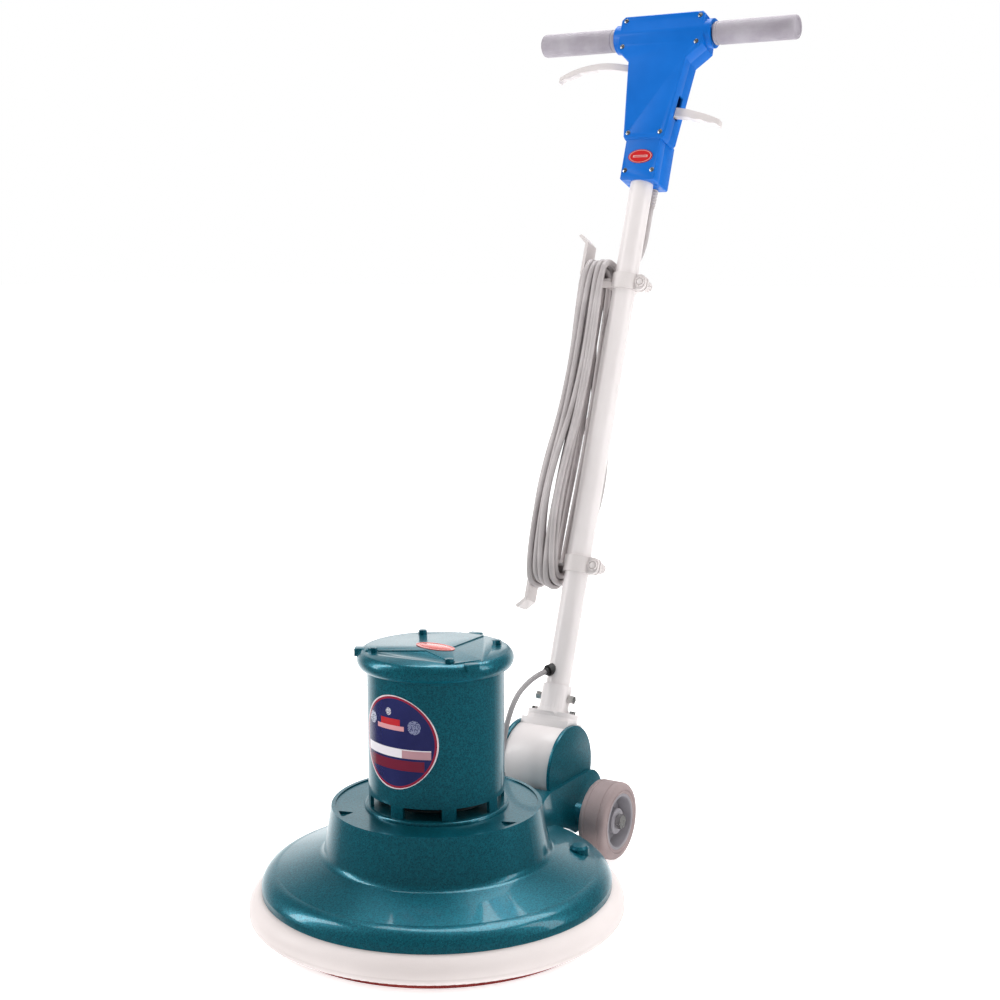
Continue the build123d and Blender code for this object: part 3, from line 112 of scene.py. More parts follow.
@dataclass
class Bench:
    """One piece on the modeller's bench, shaped with Blender's own operators."""

    piece: bpy.types.Object

    @classmethod
    def cylinder(cls, radius: float, length: float, centre: Point, axis: str = "Z", sides: int = 64) -> Bench:
        """Starts from a cylinder.

        Args:
            radius: Its radius in metres.
            length: Its length in metres.
            centre: The middle of its axis.
            axis: The axis it lies along.
            sides: How many sides it has.

        Returns:
            The bench with the new piece on it.
        """
        deselect()
        turn = {"X": (0.0, pi / 2, 0.0), "Y": (pi / 2, 0.0, 0.0), "Z": (0.0, 0.0, 0.0)}[axis]
        bpy.ops.mesh.primitive_cylinder_add(
            vertices=sides, radius=radius, depth=length, location=centre, rotation=turn
        )
        return cls(bpy.context.object)._settled()

    @classmethod
    def block(cls, size: Point, centre: Point) -> Bench:
        """Starts from a box of a size at a place."""
        deselect()
        bpy.ops.mesh.primitive_cube_add(size=1.0, location=centre)
        bpy.context.object.scale = size
        return cls(bpy.context.object)._settled()

    @classmethod
    def ball(cls, radius: float, centre: Point, squash: float = 1.0) -> Bench:
        """Starts from a ball, flattened along Z by a share."""
        deselect()
        bpy.ops.mesh.primitive_uv_sphere_add(segments=40, ring_count=20, radius=radius, location=centre)
        bpy.context.object.scale = (1.0, 1.0, squash)
        return cls(bpy.context.object)._settled()

    @classmethod
    def copy_of(cls, node: str) -> Bench:
        """Starts from a merged copy of a CAD node, with its flat faces whole again."""
        deselect()
        source = bpy.data.objects[node]
        piece = bpy.data.objects.new(node + "_dressed", source.data.copy())
        bpy.context.scene.collection.objects.link(piece)
        bench = cls(piece)
        bench.edit()
        bpy.ops.mesh.select_all(action="SELECT")
        bpy.ops.mesh.remove_doubles(threshold=2e-6)
        bpy.ops.mesh.dissolve_limited(angle_limit=radians(0.6))
        bpy.ops.mesh.select_all(action="SELECT")
        bpy.ops.mesh.normals_make_consistent(inside=False)
        deselect()
        return bench

    def _settled(self) -> Bench:
        """Applies the piece's place, so that it is in its mesh."""
        bpy.ops.object.transform_apply(location=True, rotation=True, scale=True)
        return self

    def edit(self) -> None:
        """Makes the piece the active one and enters its edit mode."""
        deselect()
        self.piece.select_set(True)
        bpy.context.view_layer.objects.active = self.piece
        bpy.ops.object.mode_set(mode="EDIT")

    def pick_faces(self, wanted: Callable[[Vector, Vector], bool]) -> int:
        """Selects faces by their middle and normal.

        Args:
            wanted: Says of a face's middle and normal whether it is selected.

        Returns:
            How many faces are selected.
        """
        if self.piece.mode != "EDIT":
            self.edit()
        bpy.ops.mesh.select_mode(type="FACE")
        bpy.ops.mesh.select_all(action="DESELECT")
        mesh = bmesh.from_edit_mesh(self.piece.data)
        for face in mesh.faces:
            face.select_set(wanted(face.calc_center_median(), face.normal))
        count = sum(face.select for face in mesh.faces)
        bmesh.update_edit_mesh(self.piece.data)
        return count

    def pick_edges(self, wanted: Callable[[Vector, Vector], bool]) -> int:
        """Selects edges by their two ends.

        Args:
            wanted: Says of an edge's two ends whether it is selected.

        Returns:
            How many edges are selected.
        """
        if self.piece.mode != "EDIT":
            self.edit()
        bpy.ops.mesh.select_mode(type="EDGE")
        bpy.ops.mesh.select_all(action="DESELECT")
        mesh = bmesh.from_edit_mesh(self.piece.data)
        for edge in mesh.edges:
            edge.select_set(wanted(edge.verts[0].co, edge.verts[1].co))
        count = sum(edge.select for edge in mesh.edges)
        bmesh.update_edit_mesh(self.piece.data)
        return count

    def inset(self, by: float) -> Bench:
        """Insets the selected faces together."""
        bpy.ops.mesh.inset(thickness=by, depth=0.0, use_boundary=True)
        return self

    def extrude(self, by: Sequence[float]) -> Bench:
        """Extrudes the selected faces by a vector."""
        bpy.ops.mesh.extrude_region_move(TRANSFORM_OT_translate={"value": tuple(by)})
        return self

    def grow(self, share: Sequence[float], about: Sequence[float]) -> Bench:
        """Scales what is selected about a point."""
        bpy.ops.transform.resize(value=tuple(share), center_override=tuple(about))
        return self

    def bevel_edges(self, width: float, segments: int = 3) -> Bench:
        """Rounds the selected edges."""
        bpy.ops.mesh.bevel(offset=width, segments=segments, affect="EDGES", clamp_overlap=True)
        return self

    def modifier(self, kind: str, **settings: object) -> Bench:
        """Adds a modifier with its settings and applies it.

        Args:
            kind: The modifier's type.
            **settings: Its properties.

        Returns:
            This bench.
        """
        deselect()
        self.piece.select_set(True)
        bpy.context.view_layer.objects.active = self.piece
        added = self.piece.modifiers.new(kind.title(), kind)
        for name, value in settings.items():
            setattr(added, name, value)
        bpy.ops.object.modifier_apply(modifier=added.name)
        return self

    def rounded(self, width: float, segments: int = 2, over: float = 40.0) -> Bench:
        """Rounds every edge sharper than an angle in degrees."""
        return self.modifier(
            "BEVEL", width=width, segments=segments, limit_method="ANGLE", angle_limit=radians(over)
        )

    def outward(self) -> Bench:
        """Merges doubles and turns all faces outward."""
        self.edit()
        bpy.ops.mesh.select_all(action="SELECT")
        bpy.ops.mesh.remove_doubles(threshold=1e-6)
        bpy.ops.mesh.normals_make_consistent(inside=False)
        deselect()
        return self

    def joined(self, others: Iterable[Bench]) -> Bench:
        """Joins other pieces into this one."""
        deselect()
        for other in others:
            other.piece.select_set(True)
        self.piece.select_set(True)
        bpy.context.view_layer.objects.active = self.piece
        bpy.ops.object.join()
        return self

    def copied(self, move: Matrix) -> Bench:
        """Makes a copy with its own mesh, moved by a matrix."""
        piece = self.piece.copy()
        piece.data = self.piece.data.copy()
        piece.data.transform(move)
        bpy.context.scene.collection.objects.link(piece)
        return Bench(piece)

    def moved(self, move: Matrix) -> Bench:
        """Moves the piece's mesh by a matrix."""
        self.piece.data.transform(move)
        return self

    def leant(self) -> Bench:
        """Leans an upright piece back with the handle."""
        return self.moved(UPRIGHT_TO_LEANT)

    def done(
        self,
        name: str,
        finish: Finish,
        body: Body,
        slot: str,
        stands_for: Sequence[str] = (),
        smooth: float = 35.0,
    ) -> bpy.types.Object:
        """Names, smooths and paints the piece and hands it to its body.

        Args:
            name: The piece's name.
            finish: What it is made of.
            body: The body it rides on.
            slot: The record's material slot; not used.
            stands_for: The CAD nodes it replaces.
            smooth: The angle in degrees under which faces shade smoothly.

        Returns:
            The finished object.
        """
        deselect()
        piece = self.piece
        piece.name = piece.data.name = name
        piece.select_set(True)
        bpy.context.view_layer.objects.active = piece
        bpy.ops.object.shade_smooth_by_angle(angle=radians(smooth))
        piece.data.materials.clear()
        piece.data.materials.append(finish.material())
        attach(piece, body.value)
        if stands_for:
            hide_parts(*stands_for)
        LOG.info("%s on %s, %d faces", name, body.value, len(piece.data.polygons))
        return piece


def lathe(outline: Sequence[tuple[float, float]], axis: str, origin: Point, steps: int = 64) -> Bench:
    """Turns an outline about an axis with the spin tool.

    Args:
        outline: Pairs of radius and place along the axis, in millimetres, from one pole to the other.
        axis: X or Z, the axis that the piece is turned about.
        origin: A point on the axis, in metres.
        steps: How many steps the turn takes.

    Returns:
        The bench with the turned piece.
    """
    deselect()
    mesh = bpy.data.meshes.new("turned")
    base = Vector(origin)
    along = Vector((1, 0, 0)) if axis == "X" else Vector((0, 0, 1))
    outward = Vector((0, 1, 0)) if axis == "X" else Vector((1, 0, 0))
    points = [base + outward * (r * MM) + along * (h * MM) for r, h in outline]
    mesh.from_pydata(points, [(i, i + 1) for i in range(len(points) - 1)], [])
    piece = bpy.data.objects.new("turned", mesh)
    bpy.context.scene.collection.objects.link(piece)
    bench = Bench(piece)
    bench.edit()
    bpy.ops.mesh.select_all(action="SELECT")
    bpy.ops.mesh.spin(steps=steps, angle=2 * pi, center=tuple(base), axis=tuple(along))
    return bench.outward()


# ---------------------------------------------------------------------------------------- finishes
class Nodes:
    """Short ways to add and link the nodes of one tree."""

    def __init__(self, tree: bpy.types.NodeTree) -> None:
        """Keeps the tree that nodes are added to."""
        self.tree = tree

    def add(self, kind: str, **settings: object) -> bpy.types.Node:
        """Adds a node; settings in capitals are inputs by name, the others its properties."""
        node = self.tree.nodes.new(kind)
        for name, value in settings.items():
            if hasattr(node, name):
                setattr(node, name, value)
            else:
                node.inputs[name.replace("_", " ")].default_value = value
        return node

    def link(self, output: bpy.types.NodeSocket, target: bpy.types.NodeSocket) -> None:
        """Links an output to an input."""
        self.tree.links.new(output, target)

    def sum(self, kind: str, first: object, second: object) -> bpy.types.NodeSocket:
        """A Math node of a kind on two numbers or sockets; gives its output."""
        node = self.add("ShaderNodeMath", operation=kind)
        for place, value in enumerate((first, second)):
            if isinstance(value, (int, float)):
                node.inputs[place].default_value = value
            else:
                self.link(value, node.inputs[place])
        return node.outputs[0]

    def blend(self, share: bpy.types.NodeSocket, low: object, high: object) -> bpy.types.NodeSocket:
        """Mixes two colours or colour sockets by a share; gives the colour."""
        node = self.add("ShaderNodeMix", data_type="RGBA")
        self.link(share, node.inputs["Factor"])
        for place, value in ((6, low), (7, high)):
            if isinstance(value, tuple):
                node.inputs[place].default_value = (*value[:3], 1.0)
            else:
                self.link(value, node.inputs[place])
        return node.outputs[2]

    def span(self, value: bpy.types.NodeSocket, low: float, high: float, to_low: float, to_high: float):
        """Maps a range to another, clamped; gives the result."""
        node = self.add("ShaderNodeMapRange")
        for name, number in (("From Min", low), ("From Max", high), ("To Min", to_low), ("To Max", to_high)):
            node.inputs[name].default_value = number
        self.link(value, node.inputs["Value"])
        return node.outputs["Result"]


def grain_group() -> bpy.types.NodeTree:
    """Makes, once, the group that gives fine grain, cells and slow cloudiness on Object coordinates.

    Returns:
        A group with inputs Scale and Cloud Scale and outputs Grain, Cells and Cloud.
    """
    name = "surface grain"
    if name in bpy.data.node_groups:
        return bpy.data.node_groups[name]
    tree = bpy.data.node_groups.new(name, "ShaderNodeTree")
    for label, default in (("Scale", 900.0), ("Cloud Scale", 12.0)):
        socket = tree.interface.new_socket(label, in_out="INPUT", socket_type="NodeSocketFloat")
        socket.default_value = default
    for label in ("Grain", "Cells", "Cloud"):
        tree.interface.new_socket(label, in_out="OUTPUT", socket_type="NodeSocketFloat")
    nodes = Nodes(tree)
    given, result = nodes.add("NodeGroupInput"), nodes.add("NodeGroupOutput")
    place = nodes.add("ShaderNodeTexCoord").outputs["Object"]
    fine = nodes.add("ShaderNodeTexNoise", Detail=3.0, Roughness=0.6)
    cells = nodes.add("ShaderNodeTexVoronoi", feature="SMOOTH_F1", Smoothness=0.6)
    cloud = nodes.add("ShaderNodeTexNoise", Detail=3.0, Roughness=0.55)
    for texture in (fine, cells, cloud):
        nodes.link(place, texture.inputs["Vector"])
    nodes.link(given.outputs["Scale"], fine.inputs["Scale"])
    nodes.link(nodes.sum("MULTIPLY", given.outputs["Scale"], 0.5), cells.inputs["Scale"])
    nodes.link(given.outputs["Cloud Scale"], cloud.inputs["Scale"])
    nodes.link(fine.outputs[0], result.inputs["Grain"])
    nodes.link(cells.outputs["Distance"], result.inputs["Cells"])
    nodes.link(cloud.outputs[0], result.inputs["Cloud"])
    return tree


@dataclass(frozen=True)
class Finish:
    """A surface with fine grain, slow cloudiness of tone and uneven gloss.

    Attributes:
        name: The material's name.
        base: Its colour, linear.
        second: The colour that its clouds tend to.
        rough: Its mean roughness.
        rough_range: How far the roughness wanders either way.
        metal: How metallic it is.
        coat: The weight of its clear coat.
        scale: Grains to the metre.
        depth: How deep the grain is, in metres.
        cloud: Clouds to the metre.
        shine: How strongly its bare surface mirrors, 0.5 for common plastic or paint.
    """

    name: str
    base: Colour
    second: Colour
    rough: float = 0.45
    rough_range: float = 0.08
    metal: float = 0.0
    coat: float = 0.0
    scale: float = 900.0
    depth: float = 0.00002
    cloud: float = 12.0
    shine: float = 0.5

    def material(self) -> bpy.types.Material:
        """Makes the material the first time it is asked for, and gives it."""
        known = bpy.data.materials.get(self.name)
        if known is not None:
            return known
        made = bpy.data.materials.new(self.name)
        made.use_nodes = True
        made.diffuse_color = (*self.base, 1.0)
        nodes = Nodes(made.node_tree)
        shader = made.node_tree.nodes["Principled BSDF"]
        shader.inputs["Metallic"].default_value = self.metal
        shader.inputs["Coat Weight"].default_value = self.coat
        shader.inputs["Specular IOR Level"].default_value = self.shine
        shader.inputs["Coat Roughness"].default_value = 0.06
        grain = nodes.add("ShaderNodeGroup", node_tree=grain_group())
        grain.inputs["Scale"].default_value = self.scale
        grain.inputs["Cloud Scale"].default_value = self.cloud
        nodes.link(self.colour(nodes, grain), shader.inputs["Base Color"])
        low, high = self.rough - self.rough_range, self.rough + self.rough_range
        nodes.link(nodes.span(grain.outputs["Cloud"], 0.35, 0.65, low, high), shader.inputs["Roughness"])
        bump = nodes.add("ShaderNodeBump", Strength=1.0, Distance=self.depth)
        nodes.link(self.height(nodes, grain), bump.inputs["Height"])
        nodes.link(bump.outputs[0], shader.inputs["Normal"])
        return made

    def colour(self, nodes: Nodes, grain: bpy.types.Node) -> bpy.types.NodeSocket:
        """Gives the colour's socket: clouds of two tones, with a little grain."""
        share = nodes.sum("MULTIPLY_ADD", grain.outputs["Grain"], 0.35)
        share.node.inputs[2].default_value = -0.18
        return nodes.blend(
            nodes.span(nodes.sum("ADD", grain.outputs["Cloud"], share), 0.35, 0.75, 0.0, 1.0),
            self.base,
            self.second,
        )

    def height(self, nodes: Nodes, grain: bpy.types.Node) -> bpy.types.NodeSocket:
        """Gives the bump's height socket."""
        return grain.outputs["Grain"]


@dataclass(frozen=True)
class HammeredPaint(Finish):
    """Glossy hammered enamel with a metallic fleck."""

    fleck: Colour = (0.04, 0.36, 0.46)

    def colour(self, nodes: Nodes, grain: bpy.types.Node) -> bpy.types.NodeSocket:
        """Gives the enamel's colour: mottled cells with bright flecks."""
        place = nodes.add("ShaderNodeTexCoord").outputs["Object"]
        flecks = nodes.add("ShaderNodeTexNoise", Scale=1500.0, Detail=1.0, Roughness=0.5)
        nodes.link(place, flecks.inputs["Vector"])
        mottle = nodes.span(grain.outputs["Cells"], 0.15, 0.7, 0.0, 1.0)
        tone = nodes.blend(mottle, self.base, self.second)
        return nodes.blend(nodes.span(flecks.outputs[0], 0.58, 0.72, 0.0, 0.7), tone, self.fleck)

    def height(self, nodes: Nodes, grain: bpy.types.Node) -> bpy.types.NodeSocket:
        """Gives the hammered dimples' height."""
        return nodes.span(grain.outputs["Cells"], 0.0, 0.8, 1.0, 0.0)


@dataclass(frozen=True)
class Stipple(Finish):
    """Moulded plastic with a coarse raised stipple."""

    def height(self, nodes: Nodes, grain: bpy.types.Node) -> bpy.types.NodeSocket:
        """Gives the stipple's height."""
        return nodes.span(grain.outputs["Cells"], 0.1, 0.5, 1.0, 0.0)


@dataclass(frozen=True)
class Striped(Finish):
    """Stacked sheets or drawn wire: fine lines square to an axis.

    Attributes:
        axis: Which way the lines are counted, 0 for X, 1 for Y or 2 for Z.
        pitch: The lines' spacing in metres.
    """

    axis: int = 2
    pitch: float = 0.001

    def _lines(self, nodes: Nodes) -> bpy.types.NodeSocket:
        """Gives the lines as a wave from -1 to 1."""
        place = nodes.add("ShaderNodeSeparateXYZ")
        nodes.link(nodes.add("ShaderNodeTexCoord").outputs["Object"], place.inputs[0])
        turns = nodes.sum("MULTIPLY", place.outputs[self.axis], 2 * pi / self.pitch)
        return nodes.sum("SINE", turns, 0.0)

    def colour(self, nodes: Nodes, grain: bpy.types.Node) -> bpy.types.NodeSocket:
        """Gives the colour, darker between the lines."""
        lines = nodes.span(self._lines(nodes), -1.0, 0.2, 0.0, 1.0)
        return nodes.blend(lines, tuple(x * 0.45 for x in self.base), self.second)

    def height(self, nodes: Nodes, grain: bpy.types.Node) -> bpy.types.NodeSocket:
        """Gives the lines' height."""
        return self._lines(nodes)


@dataclass(frozen=True)
class PadFibre(Finish):
    """Open nylon web of matted fibres."""

    def height(self, nodes: Nodes, grain: bpy.types.Node) -> bpy.types.NodeSocket:
        """Gives the web's height, deep between fibres."""
        return nodes.sum("ADD", grain.outputs["Cells"], nodes.sum("MULTIPLY", grain.outputs["Grain"], 0.8))


@dataclass(frozen=True)
class RoundLabel(Finish):
    """A printed label seen along Y: rim, ring and bands about a middle, with no lettering.

    Attributes:
        middle: The label's centre as X and the height along the lean, in metres.
        half: Its half width and half height in metres.
        rim: The rim's colour.
        ring: The colour of the ring inside the rim.
        bands: Low and high edge, left and right end and colour of each band, in shares of the half size.
        spots: Place across, height, radius and colour of each round spot, in the same shares.
        edge: Where the ring starts, as a share of the half size.
        lean: How far the label leans back, in radians.
    """

    middle: tuple[float, float] = (0.0, 0.0)
    half: tuple[float, float] = (0.05, 0.05)
    rim: Colour = (0.7, 0.7, 0.7)
    ring: Colour = (0.25, 0.01, 0.03)
    bands: tuple[tuple[float, float, float, float, Colour], ...] = ()
    spots: tuple[tuple[float, float, float, Colour], ...] = ()
    edge: float = 0.93
    lean: float = 0.0

    def colour(self, nodes: Nodes, grain: bpy.types.Node) -> bpy.types.NodeSocket:
        """Gives the label's print."""
        turn = nodes.add("ShaderNodeMapping", vector_type="POINT")
        turn.inputs["Rotation"].default_value = (self.lean, 0.0, 0.0)
        turn.inputs["Location"].default_value = (-self.middle[0], 0.0, -self.middle[1])
        nodes.link(nodes.add("ShaderNodeTexCoord").outputs["Object"], turn.inputs["Vector"])
        split = nodes.add("ShaderNodeSeparateXYZ")
        nodes.link(turn.outputs[0], split.inputs[0])
        across = nodes.sum("DIVIDE", split.outputs[0], self.half[0])
        up = nodes.sum("DIVIDE", split.outputs[2], self.half[1])
        reach = nodes.sum(
            "SQRT",
            nodes.sum("ADD", nodes.sum("MULTIPLY", across, across), nodes.sum("MULTIPLY", up, up)),
            0.0,
        )
        print_colour: object = Finish.colour(self, nodes, grain)
        for low, high, left, right, tint in self.bands:
            tall = nodes.sum("MULTIPLY", nodes.sum("GREATER_THAN", up, low), nodes.sum("LESS_THAN", up, high))
            wide = nodes.sum(
                "MULTIPLY", nodes.sum("GREATER_THAN", across, left), nodes.sum("LESS_THAN", across, right)
            )
            print_colour = nodes.blend(nodes.sum("MULTIPLY", tall, wide), print_colour, tint)
        for place, height, radius, tint in self.spots:
            aside, above = nodes.sum("SUBTRACT", across, place), nodes.sum("SUBTRACT", up, height)
            away = nodes.sum("ADD", nodes.sum("MULTIPLY", aside, aside), nodes.sum("MULTIPLY", above, above))
            broken = nodes.sum("MULTIPLY", nodes.sum("GREATER_THAN", grain.outputs["Grain"], 0.47), 0.9)
            inside = nodes.sum("MULTIPLY", nodes.sum("LESS_THAN", away, radius * radius), broken)
            print_colour = nodes.blend(inside, print_colour, tint)
        ringed = nodes.blend(nodes.sum("GREATER_THAN", reach, self.edge), print_colour, self.ring)
        return nodes.blend(nodes.sum("GREATER_THAN", reach, 0.5 + 0.5 * self.edge + 0.012), ringed, self.rim)


@dataclass(frozen=True)
class CordJacket(Finish):
    """A cord's jacket, a little dusty."""

    def height(self, nodes: Nodes, grain: bpy.types.Node) -> bpy.types.NodeSocket:
        """Gives the jacket's fine orange-peel height."""
        return nodes.sum("ADD", grain.outputs["Grain"], grain.outputs["Cells"])


ENAMEL = HammeredPaint(
    "hammered enamel",
    (0.0, 0.082, 0.122),
    (0.002, 0.150, 0.205),
    rough=0.34,
    rough_range=0.05,
    metal=0.55,
    coat=0.5,
    scale=900.0,
    depth=0.00006,
    cloud=9.0,
)
POWDER = Finish(
    "pale powder coat", (0.74, 0.69, 0.685), (0.79, 0.74, 0.735),
    0.38, 0.06, coat=0.15, scale=1600.0, depth=0.00002,
)
PALE_CAST = Finish(
    "pale lever paint", (0.64, 0.59, 0.58), (0.72, 0.67, 0.66),
    0.42, 0.08, coat=0.1, scale=700.0, depth=0.00005,
)
BUMPER = Finish(
    "pale bumper rubber", (0.72, 0.65, 0.635), (0.78, 0.71, 0.695),
    0.50, 0.08, scale=1100.0, depth=0.00002, cloud=8.0,
)
BLUE = Finish(
    "blue moulding", (0.0, 0.12, 0.50), (0.0, 0.15, 0.60),
    0.34, 0.05, shine=0.28, scale=1500.0, depth=0.000015,
)
GRIP = Stipple(
    "stippled grip", (0.30, 0.27, 0.31), (0.40, 0.37, 0.41),
    0.62, 0.06, scale=1500.0, depth=0.00022, cloud=30.0,
)
TYRE = Finish(
    "grey tyre rubber", (0.28, 0.215, 0.215), (0.37, 0.29, 0.285),
    0.68, 0.08, scale=800.0, depth=0.00006, cloud=25.0,
)
HUB = Finish(
    "grey hub plastic", (0.25, 0.235, 0.26), (0.33, 0.315, 0.34),
    0.42, 0.07, scale=1200.0, depth=0.00002, cloud=25.0,
)
JACKET = CordJacket(
    "cord jacket", (0.42, 0.385, 0.385), (0.54, 0.50, 0.50),
    0.48, 0.07, scale=900.0, depth=0.00003, cloud=20.0,
)
LEAD = CordJacket(
    "motor lead jacket", (0.24, 0.225, 0.23), (0.32, 0.30, 0.305),
    0.45, 0.07, scale=900.0, depth=0.00003, cloud=20.0,
)
BLACK = Finish("black plastic", (0.012, 0.012, 0.013), (0.02, 0.02, 0.02), 0.42, 0.08, scale=1200.0)
ZINC = Finish(
    "zinc plate", (0.52, 0.51, 0.50), (0.64, 0.63, 0.61),
    0.30, 0.08, metal=1.0, scale=500.0, depth=0.00001, cloud=60.0,
)
ALLOY_STEEL = Finish(
    "oiled steel", (0.28, 0.28, 0.28), (0.38, 0.38, 0.38), 0.32, 0.08, metal=1.0, scale=700.0, depth=0.00001
)
CAST_ALLOY = Finish(
    "cast aluminium", (0.42, 0.42, 0.43), (0.52, 0.52, 0.52), 0.55, 0.08, metal=0.9, scale=450.0, depth=0.0001
)
SHEET_STACK = Striped(
    "core sheets", (0.20, 0.20, 0.21), (0.33, 0.33, 0.34),
    0.45, 0.06, metal=0.9, depth=0.0001, axis=2, pitch=0.001,
)
WIRE = Striped(
    "varnished wire", (0.38, 0.14, 0.04), (0.60, 0.26, 0.09),
    0.32, 0.06, metal=0.6, coat=0.5, depth=0.0003, pitch=0.0016,
)
FIBRE = PadFibre(
    "pad fibre", (0.24, 0.02, 0.02), (0.36, 0.05, 0.04), 0.9, 0.05, scale=700.0, depth=0.0012, cloud=14.0
)
DRIVER = Finish(
    "driver plastic", (0.03, 0.03, 0.032), (0.05, 0.05, 0.05),
    0.5, 0.08, scale=600.0, depth=0.00004,
)
MOTOR_LABEL = RoundLabel(
    "round motor label",
    (0.010, 0.012, 0.080),
    (0.016, 0.020, 0.115),
    0.22,
    0.03,
    coat=0.6,
    depth=0.000004,
    middle=(-0.0043, 0.233),
    half=(0.0504, 0.0546),
    rim=(0.66, 0.56, 0.60),
    ring=(0.26, 0.008, 0.035),
    bands=(
        (-0.31, -0.12, -0.88, 0.86, (0.72, 0.68, 0.72)),
        (-0.31, -0.14, 0.20, 0.86, (0.44, 0.24, 0.27)),
        (-0.58, -0.36, -0.78, 0.72, (0.15, 0.008, 0.03)),
        (0.26, 0.36, -0.52, 0.26, (0.62, 0.28, 0.30)),
        (0.36, 0.50, -0.40, 0.16, (0.46, 0.012, 0.02)),
    ),
    spots=(
        (-0.70, 0.42, 0.13, (0.55, 0.56, 0.66)),
        (0.50, 0.36, 0.15, (0.24, 0.26, 0.40)),
        (-0.16, 0.64, 0.08, (0.62, 0.60, 0.66)),
    ),
)
HEAD_LABEL = RoundLabel(
    "oval head label",
    (0.50, 0.008, 0.010),
    (0.58, 0.012, 0.014),
    0.24,
    0.03,
    coat=0.6,
    depth=0.000004,
    half=(0.0185, 0.010),
    middle=(0.0, (Matrix.Rotation(LEAN, 4, "X") @ PIVOT).z + 0.846),
    rim=(0.42, 0.008, 0.010),
    ring=(0.60, 0.24, 0.22),
    bands=((-0.16, 0.16, -0.60, 0.60, (0.66, 0.36, 0.34)), (-0.06, 0.06, -0.5, 0.5, (0.50, 0.02, 0.02))),
    edge=0.84,
    lean=LEAN,
)
EMBLEM = Finish(
    "cap emblem", (0.62, 0.10, 0.09), (0.72, 0.20, 0.18),
    0.25, 0.04, coat=0.6, depth=0.000005, cloud=60.0,
)

NODE_FINISHES: dict[str, Finish] = {
    "deck_casting": ENAMEL,
    "rear_fork": ENAMEL,
    "vent_ring": ENAMEL,
    "motor_can": ENAMEL,
    "motor_cover": ENAMEL,
    "cover_fasteners": ENAMEL,
    "bumper_ring": BUMPER,
    "front_badge": MOTOR_LABEL,
    "head_badge": HEAD_LABEL,
    "stator_core": SHEET_STACK,
    "rotor_core": SHEET_STACK,
    "stator_windings": WIRE,
    "motor_bearings": ALLOY_STEEL,
    "output_bearing": ALLOY_STEEL,
    "ring_gear": ALLOY_STEEL,
    "rotor_shaft": ALLOY_STEEL,
    "planet_gear_1": ALLOY_STEEL,
    "planet_gear_2": ALLOY_STEEL,
    "planet_gear_3": ALLOY_STEEL,
    "planet_carrier": ALLOY_STEEL,
    "brake_disc": ALLOY_STEEL,
    "gearbox_plate": CAST_ALLOY,
    "drive_plate": CAST_ALLOY,
    "gearbox_screws": ZINC,
    "pivot_pin": ZINC,
    "wheel_bolts": ZINC,
    "neck_bolts": ZINC,
    "lever_pins": ZINC,
    "brake_rod": ZINC,
    "brake_spring": ZINC,
    "handlebar": ZINC,
    "head_screws": ZINC,
    "cooling_fan": BLACK,
    "lead_gland": BLACK,
    "tube_grommet": BLACK,
    "trigger_switch": BLACK,
    "pad_driver": DRIVER,
    "floor_pad": FIBRE,
    "tilt_drum": POWDER,
    "drum_end_plate": POWDER,
    "neck_socket": POWDER,
    "handle_tube": POWDER,
    "upper_hook": PALE_CAST,
    "lower_hook": PALE_CAST,
    "hook_bolts": PALE_CAST,
    "switch_lever": PALE_CAST,
    "release_lever": PALE_CAST,
    "head_front_shell": BLUE,
    "head_rear_shell": BLUE,
    "left_grip": GRIP,
    "right_grip": GRIP,
    "left_tyre": TYRE,
    "right_tyre": TYRE,
    "left_hub": HUB,
    "right_hub": HUB,
    "cord_gland": JACKET,
    "mains_cord": JACKET,
    "cord_hank": JACKET,
    "mains_plug": JACKET,
    "motor_lead": LEAD,
}


def paint_nodes(nodes: dict[str, bpy.types.Object]) -> None:
    """Gives every CAD node its finish in place of its plain colour.

    Args:
        nodes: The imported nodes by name.
    """
    for name, finish in NODE_FINISHES.items():
        piece = nodes[name]
        piece.data.materials.clear()
        piece.data.materials.append(finish.material())
        LOG.info("%s painted with %s", name, finish.name)


# ---------------------------------------------------------------------------------------- cords
class Lay(str, Enum):
    """How a free cord lies."""

    COILED = "coiled"
    LOOSE = "loose"


def spline_along(name: str, route: Sequence[Vector], radius: float, sides: int) -> bpy.types.Object:
    """Makes a smooth cord as one open NURBS spline over a route's points.

    Args:
        name: The curve's name.
        route: Its control points in metres.
        radius: The cord's radius in metres.
        sides: The bevel's resolution.

    Returns:
        The curve object.
    """
    curve = bpy.data.curves.new(name, "CURVE")
    curve.dimensions = "3D"
    curve.resolution_u = 6
    spline = curve.splines.new("NURBS")
    spline.points.add(len(route) - 1)
    for point, place in zip(spline.points, route):
        point.co = (*place, 1.0)
    spline.order_u = 3
    spline.use_endpoint_u = True
    curve.bevel_depth = radius
    curve.bevel_resolution = sides
    curve.use_fill_caps = True
    cord = bpy.data.objects.new(name, curve)
    bpy.context.scene.collection.objects.link(cord)
    return cord


